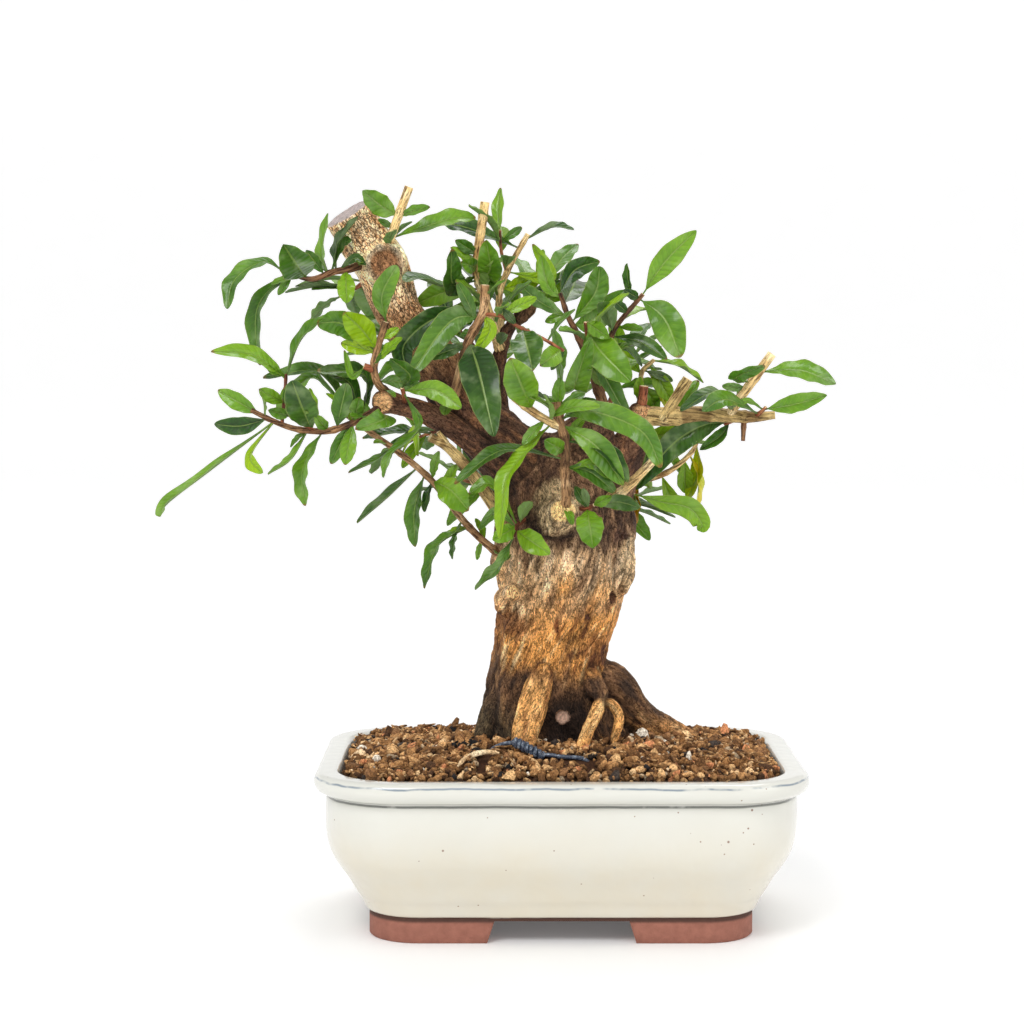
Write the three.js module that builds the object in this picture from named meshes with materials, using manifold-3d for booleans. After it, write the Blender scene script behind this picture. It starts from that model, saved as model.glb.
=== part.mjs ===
// A pomegranate bonsai in its glazed pot: one old trunk with its roots and pruned branches,
// leafy shoots set in it, granular soil, a twisted tie wire, and drain screens on the pot floor.
// Millimetres, +Z up, the front of the pot towards -Y, the middle of the footprint at the origin.
import * as THREE from 'three';
import { mergeVertices } from 'three/addons/utils/BufferGeometryUtils.js';
import Module from 'manifold-3d';

const wasm = await Module();
wasm.setup();

// ---------------------------------------------------------------- driving dimensions

const GAP = 0.35; // clearance between neighbouring pieces
const SLIVER = 0.06; // facets thinner than this are merged

const POT_LENGTH = 240;
const POT_DEPTH = 176;
const RIM_CORNER = 41; // plan radius at the rim
const CORNER_TIGHTENING = 0.62; // how fast the plan radius falls as the wall moves in
const FLOOR_TOP = 19;
const FOOT_HEIGHT = 11;
const FOOT_WALL = 15;
const FRONT_GAP_TOP = 65; // between the feet, along X
const FRONT_GAP_BOTTOM = 72;
const SIDE_GAP_TOP = 44; // between the feet, along Y
const SIDE_GAP_BOTTOM = 51;
const DRAIN_OFFSET = 46;
const DRAIN_RADIUS = 7;

// Wall profiles as [half length, height]; the half depth is always 32 less.
const POT_OUTSIDE = [
  [94, 0], [94, 12], [96.5, 17], [100, 22], [104, 29], [108, 35], [111.5, 41], [113.5, 47],
  [114.5, 55], [114.5, 69], [113.8, 71], [117, 72.6], [119.5, 75], [120, 78], [119.2, 80.6], [117.4, 82],
];
const POT_INSIDE = [
  [109, 82], [107.8, 80.4], [107.2, 68], [106.6, 52], [104, 42], [99, 33], [92, 25], [84, 19],
];

const SOIL_SIDES = [[83.5, 19.4], [98.4, 33.2], [106, 52.4], [106.6, 80]];
const SOIL_MOUND = 11; // rise of the soil from the wall to the trunk
const SOIL_RINGS = 9;
const SOIL_LONG_STEPS = 7;
const SOIL_SHORT_STEPS = 5;
const GRAIN_HEIGHT = 1.5;
const GRAIN_SHIFT = 1.2;

const SCREEN_SIZE = 27;
const SCREEN_BAR = 1.8;
const SCREEN_CELLS = 3;
const SCREEN_THICKNESS = 1.2;

const WIRE_RADIUS = 1.1;
const TWIST_TURNS = 3;

const BLADE_THICKNESS = 1;
const BLADE_FOLD = 0.3; // rise of the edges over the midrib, as a share of the half width
const BLADE_ARCH = 0.07; // rise of the middle over the chord, as a share of the length

// Sections of a blade as [place along the midrib, share of the width].
const STRAIGHT_BLADE = [[0.28, 0.84], [0.66, 0.92]];
const CURVED_BLADE = [[0.2, 0.66], [0.5, 1], [0.78, 0.74]];
const STALK_RADIUS = 0.4;
const KEELED_WIDTH = 7.5; // as seen from the front
const SLENDERNESS = 0.3; // usual width of a blade, as a share of its length
const USUAL_WIDTH = 11;
const ROUNDEST = 0.42;
const LONGEST_BLADE = 50;

// ---------------------------------------------------------------- front elevation

// The tree was set out on a front elevation in perspective, drawn at twice full size. A place on
// it is [across, down] from the sheet's top left corner, with its depth behind the pot's middle in
// millimetres. The sheet's middle is where the eye looks.
const SHEET_MIDDLE = 512;
const SHEET_DISTANCE = 2417.7; // from the eye, in sheet units
const EYE = new THREE.Vector3(-24, -1208, 292.3);
const EYE_TILT = 0.073; // radians below level

function sheet(across, down, behind) {
  const u = (across - SHEET_MIDDLE) / SHEET_DISTANCE;
  const v = (SHEET_MIDDLE - down) / SHEET_DISTANCE;
  const cos = Math.cos(EYE_TILT);
  const sin = Math.sin(EYE_TILT);
  const reach = (behind - EYE.y) / (cos + v * sin);
  return new THREE.Vector3(EYE.x + u * reach, behind, EYE.z + reach * (v * cos - sin));
}

// ---------------------------------------------------------------- seeded draws

let drawState = 1;

function seed(value) {
  drawState = value;
}

function draw(low, high) {
  drawState = (drawState * 1664525 + 1013904223) % 4294967296;
  return low + (high - low) * (drawState / 4294967296);
}

// ---------------------------------------------------------------- solids

function toSolid(geometry) {
  const bare = geometry.clone();
  bare.deleteAttribute('normal');
  bare.deleteAttribute('uv');
  const merged = mergeVertices(bare, 1e-4);
  const position = merged.attributes.position;
  const corners = [];
  const a = new THREE.Vector3();
  const b = new THREE.Vector3();
  const c = new THREE.Vector3();
  let volume = 0;
  for (let i = 0; i < merged.index.count; i += 3) {
    const [p, q, r] = [0, 1, 2].map((k) => merged.index.getX(i + k));
    if (p !== q && q !== r && r !== p) {
      corners.push(p, q, r);
      a.fromBufferAttribute(position, p);
      b.fromBufferAttribute(position, q);
      c.fromBufferAttribute(position, r);
      volume += a.dot(b.cross(c));
    }
  }
  if (volume < 0) corners.reverse();
  return new wasm.Manifold(new wasm.Mesh({
    numProp: 3,
    vertProperties: new Float32Array(position.array),
    triVerts: new Uint32Array(corners),
  }));
}

function solidFromRings(rings) {
  const around = rings[0].length;
  const index = [];
  for (let i = 0; i < rings.length - 1; i++) {
    for (let k = 0; k < around; k++) {
      const here = i * around + k;
      const beside = i * around + ((k + 1) % around);
      index.push(here, beside, beside + around, here, beside + around, here + around);
    }
  }
  const end = (rings.length - 1) * around;
  for (let k = 1; k < around - 1; k++) {
    index.push(0, k + 1, k);
    index.push(end, end + k, end + k + 1);
  }
  const geometry = new THREE.BufferGeometry().setFromPoints(rings.flat());
  geometry.setIndex(index);
  return toSolid(geometry);
}

function joined(solids) {
  return solids.reduce((whole, solid) => whole.add(solid));
}

// The largest body of a solid, without the scraps and slivers that cutting or joining leaves.
function mainBody(solid) {
  const bodies = solid.simplify(SLIVER).decompose();
  return bodies.reduce((best, body) => (body.volume() > best.volume() ? body : best));
}

function piece(name, solid, material) {
  const body = mainBody(solid).getMesh();
  const geometry = new THREE.BufferGeometry();
  geometry.setAttribute('position', new THREE.BufferAttribute(Float32Array.from(body.vertProperties), 3));
  geometry.setIndex(new THREE.BufferAttribute(Uint32Array.from(body.triVerts), 1));
  geometry.computeVertexNormals();
  const mesh = new THREE.Mesh(geometry, material);
  mesh.name = name;
  return mesh;
}

function ball(centre, width, depth, height) {
  const geometry = new THREE.SphereGeometry(1, 9, 6);
  geometry.scale(width / 2, depth / 2, height / 2);
  geometry.translate(centre.x, centre.y, centre.z);
  return toSolid(geometry);
}

function block(width, depth, height, x, y, bottom) {
  const geometry = new THREE.BoxGeometry(width, depth, height);
  geometry.translate(x, y, bottom + height / 2);
  return toSolid(geometry);
}

// A round tube through the given places, its radius running evenly from one to the next.
function tube(places, radii, sides, stepsPerSpan, lumps = 0) {
  const curve = new THREE.CatmullRomCurve3(places, false, 'catmullrom', 0.5);
  const steps = (places.length - 1) * stepsPerSpan;
  const normal = new THREE.Vector3(0.31, -0.94, 0.13);
  const rings = [];
  for (let i = 0; i <= steps; i++) {
    const centre = curve.getPoint(i / steps);
    const along = curve.getTangent(i / steps);
    normal.addScaledVector(along, -normal.dot(along)).normalize();
    const side = new THREE.Vector3().crossVectors(along, normal);
    const span = Math.min(Math.floor(i / stepsPerSpan), radii.length - 2);
    const radius = THREE.MathUtils.lerp(radii[span], radii[span + 1], i / stepsPerSpan - span);
    const ring = [];
    for (let k = 0; k < sides; k++) {
      const angle = (2 * Math.PI * k) / sides;
      const lump = 1 + lumps * (Math.sin(3 * angle + 0.9 * i) + 0.7 * Math.sin(5 * angle - 0.6 * i));
      ring.push(centre.clone()
        .addScaledVector(normal, radius * lump * Math.cos(angle))
        .addScaledVector(side, radius * lump * Math.sin(angle)));
    }
    rings.push(ring);
  }
  return solidFromRings(rings);
}

// A tube set out on the front elevation: each place is [across, down, behind, radius]. One that is
// grown to cut a socket is longer at both ends too.
function limb(sides, places, grow = 0, lumps = 0) {
  const centres = places.map(([across, down, behind]) => sheet(across, down, behind));
  const last = places.length - 1;
  for (const [end, next] of [[0, 1], [last, last - 1]]) {
    const outward = centres[end].clone().sub(centres[next]).normalize();
    centres[end].addScaledVector(outward, grow);
  }
  const radii = places.map((place) => place[3] + grow);
  return tube(centres, radii, sides, 1, lumps);
}

// ---------------------------------------------------------------- pot

function planRing(halfLength, height, longSteps, shortSteps) {
  const halfDepth = halfLength - (POT_LENGTH - POT_DEPTH) / 2;
  const radius = RIM_CORNER - CORNER_TIGHTENING * (POT_LENGTH / 2 - halfLength);
  const steps = 5;
  const ring = [];
  const corners = [
    [1, 1, 0, longSteps], [-1, 1, 1, shortSteps], [-1, -1, 2, longSteps], [1, -1, 3, shortSteps],
  ];
  for (const [signX, signY, quarter, sideSteps] of corners) {
    for (let k = 0; k <= steps; k++) {
      const angle = (quarter + k / steps) * (Math.PI / 2);
      ring.push(new THREE.Vector3(
        signX * (halfLength - radius) + radius * Math.cos(angle),
        signY * (halfDepth - radius) + radius * Math.sin(angle),
        height,
      ));
    }
    const from = ring[ring.length - 1];
    const turn = ((quarter + 2) * Math.PI) / 2;
    const length = 2 * ((quarter % 2 ? halfDepth : halfLength) - radius);
    for (let k = 1; k < sideSteps; k++) {
      const way = (length * k) / sideSteps;
      ring.push(new THREE.Vector3(from.x + way * Math.cos(turn), from.y + way * Math.sin(turn), height));
    }
  }
  return ring;
}

function footGap(top, bottom, length, alongX) {
  const overshoot = 1;
  const slope = (bottom - top) / 2 / FOOT_HEIGHT;
  const low = bottom / 2 + slope * overshoot;
  const profile = new THREE.Shape([
    new THREE.Vector2(-low, -overshoot), new THREE.Vector2(low, -overshoot),
    new THREE.Vector2(top / 2, FOOT_HEIGHT), new THREE.Vector2(-top / 2, FOOT_HEIGHT),
  ]);
  const geometry = new THREE.ExtrudeGeometry(profile, { depth: length, bevelEnabled: false });
  geometry.translate(0, 0, -length / 2);
  geometry.rotateX(Math.PI / 2);
  if (alongX) geometry.rotateZ(Math.PI / 2);
  return toSolid(geometry);
}

function potSolid() {
  const walls = [...POT_OUTSIDE, ...POT_INSIDE].map(([half, height]) => planRing(half, height, 1, 1));
  let pot = solidFromRings(walls);
  const recess = POT_OUTSIDE[0][0] - FOOT_WALL;
  pot = pot.subtract(solidFromRings([planRing(recess, -1, 1, 1), planRing(recess, FOOT_HEIGHT, 1, 1)]));
  pot = pot.subtract(footGap(FRONT_GAP_TOP, FRONT_GAP_BOTTOM, POT_DEPTH, false));
  pot = pot.subtract(footGap(SIDE_GAP_TOP, SIDE_GAP_BOTTOM, POT_LENGTH, true));
  for (const side of [-1, 1]) {
    const drain = new THREE.CylinderGeometry(DRAIN_RADIUS, DRAIN_RADIUS, 2 * FLOOR_TOP, 12);
    drain.rotateX(Math.PI / 2);
    drain.translate(side * DRAIN_OFFSET, 0, FLOOR_TOP);
    pot = pot.subtract(toSolid(drain));
  }
  return pot;
}

function screenSolid(x) {
  const bottom = FLOOR_TOP + GAP;
  const pitch = (SCREEN_SIZE - SCREEN_BAR) / SCREEN_CELLS;
  const opening = pitch - SCREEN_BAR;
  const tall = 3 * SCREEN_THICKNESS;
  let screen = block(SCREEN_SIZE, SCREEN_SIZE, SCREEN_THICKNESS, x, 0, bottom);
  for (let i = 0; i < SCREEN_CELLS; i++) {
    for (let j = 0; j < SCREEN_CELLS; j++) {
      const [across, back] = [i, j].map((cell) => (cell - (SCREEN_CELLS - 1) / 2) * pitch);
      const cell = block(opening, opening, tall, x + across, back, bottom - SCREEN_THICKNESS);
      screen = screen.subtract(cell);
    }
  }
  return screen;
}

// ---------------------------------------------------------------- trunk

// Cross sections of the trunk: [down, left edge, right edge, half depth, behind].
const TRUNK_SECTIONS = [
  [768, 466, 656, 32, 9], [744, 470, 646, 32, 9], [728, 476, 634, 31, 10], [712, 480, 623, 29, 10],
  [690, 485, 613, 27, 11], [662, 489, 609, 26, 12], [640, 494, 611, 25, 12], [616, 498, 619, 26, 12],
  [592, 500, 625, 28, 12], [568, 497, 633, 29, 12], [542, 497, 633, 29, 12], [514, 498, 633, 28, 12],
  [490, 495, 630, 27, 12], [468, 492, 626, 24, 12], [448, 498, 618, 19, 12], [434, 516, 604, 11, 12],
];

// Roots as [across, down, behind, radius].
const ROOTS = [
  [[548, 660, -4, 6], [541, 680, -13, 6.8], [534, 704, -20, 7], [526, 732, -27, 6.6], [521, 756, -33, 5]],
  [[506, 690, 4, 9], [495, 716, 0, 8], [487, 742, -3, 7], [479, 764, -6, 4]],
  [[588, 676, -6, 7], [601, 696, -17, 4.6], [594, 716, -24, 3.6], [586, 735, -28, 3.2], [577, 762, -32, 2.6]],
  [
    [600, 698, -17, 3.4], [613, 706, -20, 2.8], [619, 720, -21, 2.3], [613, 742, -24, 2],
    [610, 764, -26, 1.6],
  ],
  [
    [596, 676, 8, 11], [616, 688, 8, 11], [634, 708, 8, 9], [655, 724, 12, 7.4], [678, 732, 18, 5],
    [700, 742, 25, 3],
  ],
  [[520, 712, 30, 10], [500, 728, 42, 7], [478, 748, 52, 4]],
  [[590, 712, 30, 10], [612, 728, 42, 7], [634, 750, 50, 4]],
];

// Thick wood that bears the branches, with the pruned arm first.
const ARMS = [
  [
    [560, 498, 10, 19], [520, 462, 8, 18], [485, 430, 6, 15.5], [455, 398, 4, 12.8], [436, 362, 2, 11.8],
    [402, 318, 0, 11.4], [389, 288, -1, 12.4], [379, 262, -1, 13], [363, 238, -2.5, 12.5],
    [347, 213, -6, 12.1],
  ],
  [[585, 500, 10, 20], [606, 478, 10, 16], [623, 455, 9, 11], [636, 432, 8, 8], [641, 411, 8, 5.5]],
];

const BRANCHES = [
  [
    [505, 466, -2, 9], [483, 448, -6, 6.8], [467, 437, -9, 6], [442, 420, -12, 5.6],
    [411, 408, -14, 5.2], [383, 401, -15, 5.3],
  ],
  [
    [512, 452, 12, 7], [500, 405, 14, 4.8], [498, 372, 15, 4.3], [505, 335, 15, 4.3],
    [525, 310, 15, 4], [533, 292, 15, 3.4],
  ],
  [[596, 452, 8, 7], [604, 428, 7, 3.6], [605, 412, 7, 2.9], [597, 385, 6, 2.7], [589, 358, 5, 2.4]],
  [
    [630, 428, 8, 7], [648, 417, 6, 5], [670, 417, 4, 4.6], [700, 414, 2, 3.7], [730, 416, 0, 3.3],
    [752, 417, -2, 2.7], [775, 415, -3, 1.9],
  ],
  [[641, 420, 6, 3.4], [642, 404, 5, 2.4], [644, 386, 4, 2.3]],
  [[662, 420, 3, 3.4], [670, 408, 2, 2.8], [688, 379, 0, 2.6]],
  [[744, 417, -1, 1.5], [743, 441, -1, 1]],
  [[610, 500, -4, 4], [626, 488, -10, 2.4], [653, 461, -16, 2]],
  [[508, 524, 2, 5], [499, 512, -4, 3.5], [475, 478, -10, 3], [450, 449, -14, 2.4], [430, 437, -18, 1.9]],
  [[453, 453, -14, 1.9], [438, 432, -16, 1.3]],
];

// Burls and callus as [across, down, behind, width, depth, height].
const BURLS = [
  [556, 519, -14, 22, 18, 24], [564, 511, -20, 14, 9, 14], [511, 594, -8, 10, 9, 9], [500, 606, -2, 8, 8, 8],
  [384, 264, -10, 22, 12, 22], [640, 414, 6, 13, 12, 12], [384, 402, -15, 12, 12, 12],
  [585, 440, 2, 30, 24, 26],
];

function trunkColumn(grow) {
  const sides = 18;
  const rings = TRUNK_SECTIONS.map(([down, left, right, halfDepth, behind], row) => {
    const from = sheet(left, down, behind);
    const to = sheet(right, down, behind);
    const halfWidth = (to.x - from.x) / 2 + grow;
    const height = (from.z + to.z) / 2 - (row === 0 ? grow : 0);
    const ring = [];
    for (let k = 0; k < sides; k++) {
      const angle = (2 * Math.PI * k) / sides;
      const lobes = 1 + 0.035 * Math.sin(4 * angle + 0.35 * row) + 0.025 * Math.sin(7 * angle - 0.5 * row);
      ring.push(new THREE.Vector3(
        (from.x + to.x) / 2 + halfWidth * lobes * Math.cos(angle),
        behind + (halfDepth + grow) * lobes * Math.sin(angle),
        height,
      ));
    }
    return ring;
  });
  return solidFromRings(rings);
}

// The column and its roots, with the hollow between the front roots and the cut root in it.
function trunkFoot(grow) {
  const roots = ROOTS.map((places) => limb(6, places, grow, 0.04));
  const hollow = ball(sheet(569, 724, -24), 17, 20, 17);
  const cutRoot = limb(6, [[564, 716, 0, 3.6], [563, 718, -17, 3.4]], grow);
  return joined([trunkColumn(grow).subtract(hollow), cutRoot, ...roots]);
}

function trunkSolid() {
  const arms = ARMS.map((places) => limb(10, places, 0, 0.025));
  const branches = BRANCHES.map((places) => limb(6, places, 0, 0.02));
  const burls = BURLS.map(([across, down, behind, width, depth, height]) => (
    ball(sheet(across, down, behind), width, depth, height)));
  return joined([trunkFoot(0), ...arms, ...branches, ...burls]);
}

// ---------------------------------------------------------------- soil and wire

function soilHeight(x, y) {
  const across = THREE.MathUtils.clamp(1 - (x / 112) ** 2, 0, 1);
  const back = THREE.MathUtils.clamp(1 - (y / 80) ** 2, 0, 1);
  return SOIL_SIDES[SOIL_SIDES.length - 1][1] + SOIL_MOUND * across * back;
}

function soilSolid(wire) {
  seed(20);
  const rings = SOIL_SIDES.map(([half, height]) => planRing(half, height, SOIL_LONG_STEPS, SOIL_SHORT_STEPS));
  const rim = rings[rings.length - 1];
  for (let i = 1; i <= SOIL_RINGS; i++) {
    const share = 1 - i / (SOIL_RINGS + 0.5);
    rings.push(rim.map((edge) => {
      const x = edge.x * share + draw(-GRAIN_SHIFT, GRAIN_SHIFT) * share;
      const y = edge.y * share + draw(-GRAIN_SHIFT, GRAIN_SHIFT) * share;
      return new THREE.Vector3(x, y, soilHeight(x, y) + draw(-GRAIN_HEIGHT, GRAIN_HEIGHT) * share);
    }));
  }
  let soil = solidFromRings(rings).subtract(trunkFoot(GAP)).subtract(wire);
  for (const side of [-1, 1]) {
    const width = SCREEN_SIZE + 2 * GAP;
    const pocket = block(width, width, SCREEN_THICKNESS + 2 * GAP, side * DRAIN_OFFSET, 0, FLOOR_TOP);
    soil = soil.subtract(pocket);
  }
  return soil;
}

const WIRE_LEGS = [
  [[482, 768, -26], [486, 756, -29], [496, 747, -33], [509, 743, -36], [519, 744, -38]],
  [[538, 754, -41], [548, 755, -42], [566, 757, -43], [584, 759, -43], [592, 768, -43]],
];
const WIRE_TWIST = [[515, 742, -37], [527, 748, -40], [542, 756, -42]];

function twistSolid(grow) {
  const curve = new THREE.CatmullRomCurve3(WIRE_TWIST.map((place) => sheet(...place)));
  const steps = 6 * TWIST_TURNS;
  const rings = [];
  for (let i = 0; i <= steps; i++) {
    const centre = curve.getPoint(i / steps);
    const along = curve.getTangent(i / steps);
    const normal = new THREE.Vector3(0, 0, 1).addScaledVector(along, -along.z).normalize();
    const side = new THREE.Vector3().crossVectors(along, normal);
    const turn = (i / 6) * Math.PI;
    const ring = [];
    for (let k = 0; k < 6; k++) {
      const angle = (k * Math.PI) / 3;
      const long = (2 * WIRE_RADIUS + grow) * Math.cos(angle);
      const short = (WIRE_RADIUS + grow) * Math.sin(angle) * 1.15;
      ring.push(centre.clone()
        .addScaledVector(normal, long * Math.cos(turn) - short * Math.sin(turn))
        .addScaledVector(side, long * Math.sin(turn) + short * Math.cos(turn)));
    }
    rings.push(ring);
  }
  return solidFromRings(rings);
}

function wireSolid(grow) {
  const legs = WIRE_LEGS.map((places) => limb(6, places.map((place) => [...place, WIRE_RADIUS]), grow));
  return joined([...legs, twistSolid(grow)]);
}

// ---------------------------------------------------------------- leaves

// A leaf as drawn: its width as seen from the front, then its places on the elevation from the
// stem to the tip.
function leaf(width, ...numbers) {
  const places = [];
  for (let i = 0; i < numbers.length; i += 2) places.push([numbers[i], numbers[i + 1]]);
  return { width, places };
}

// A stem as drawn: its radius at the root and at the tip, then its places.
function stem(rootRadius, tipRadius, ...places) {
  const last = places.length - 1;
  return places.map((place, i) => [...place, THREE.MathUtils.lerp(rootRadius, tipRadius, i / last)]);
}

function shoot(name, stems, leaves) {
  return { name, stems, leaves };
}

// A shoot behind the tree, whose leaves follow a rule along its stem.
function backShoot(name, count, ...places) {
  return { name, stems: [stem(1.5, 0.8, ...places)], leaves: [], count };
}

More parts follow.
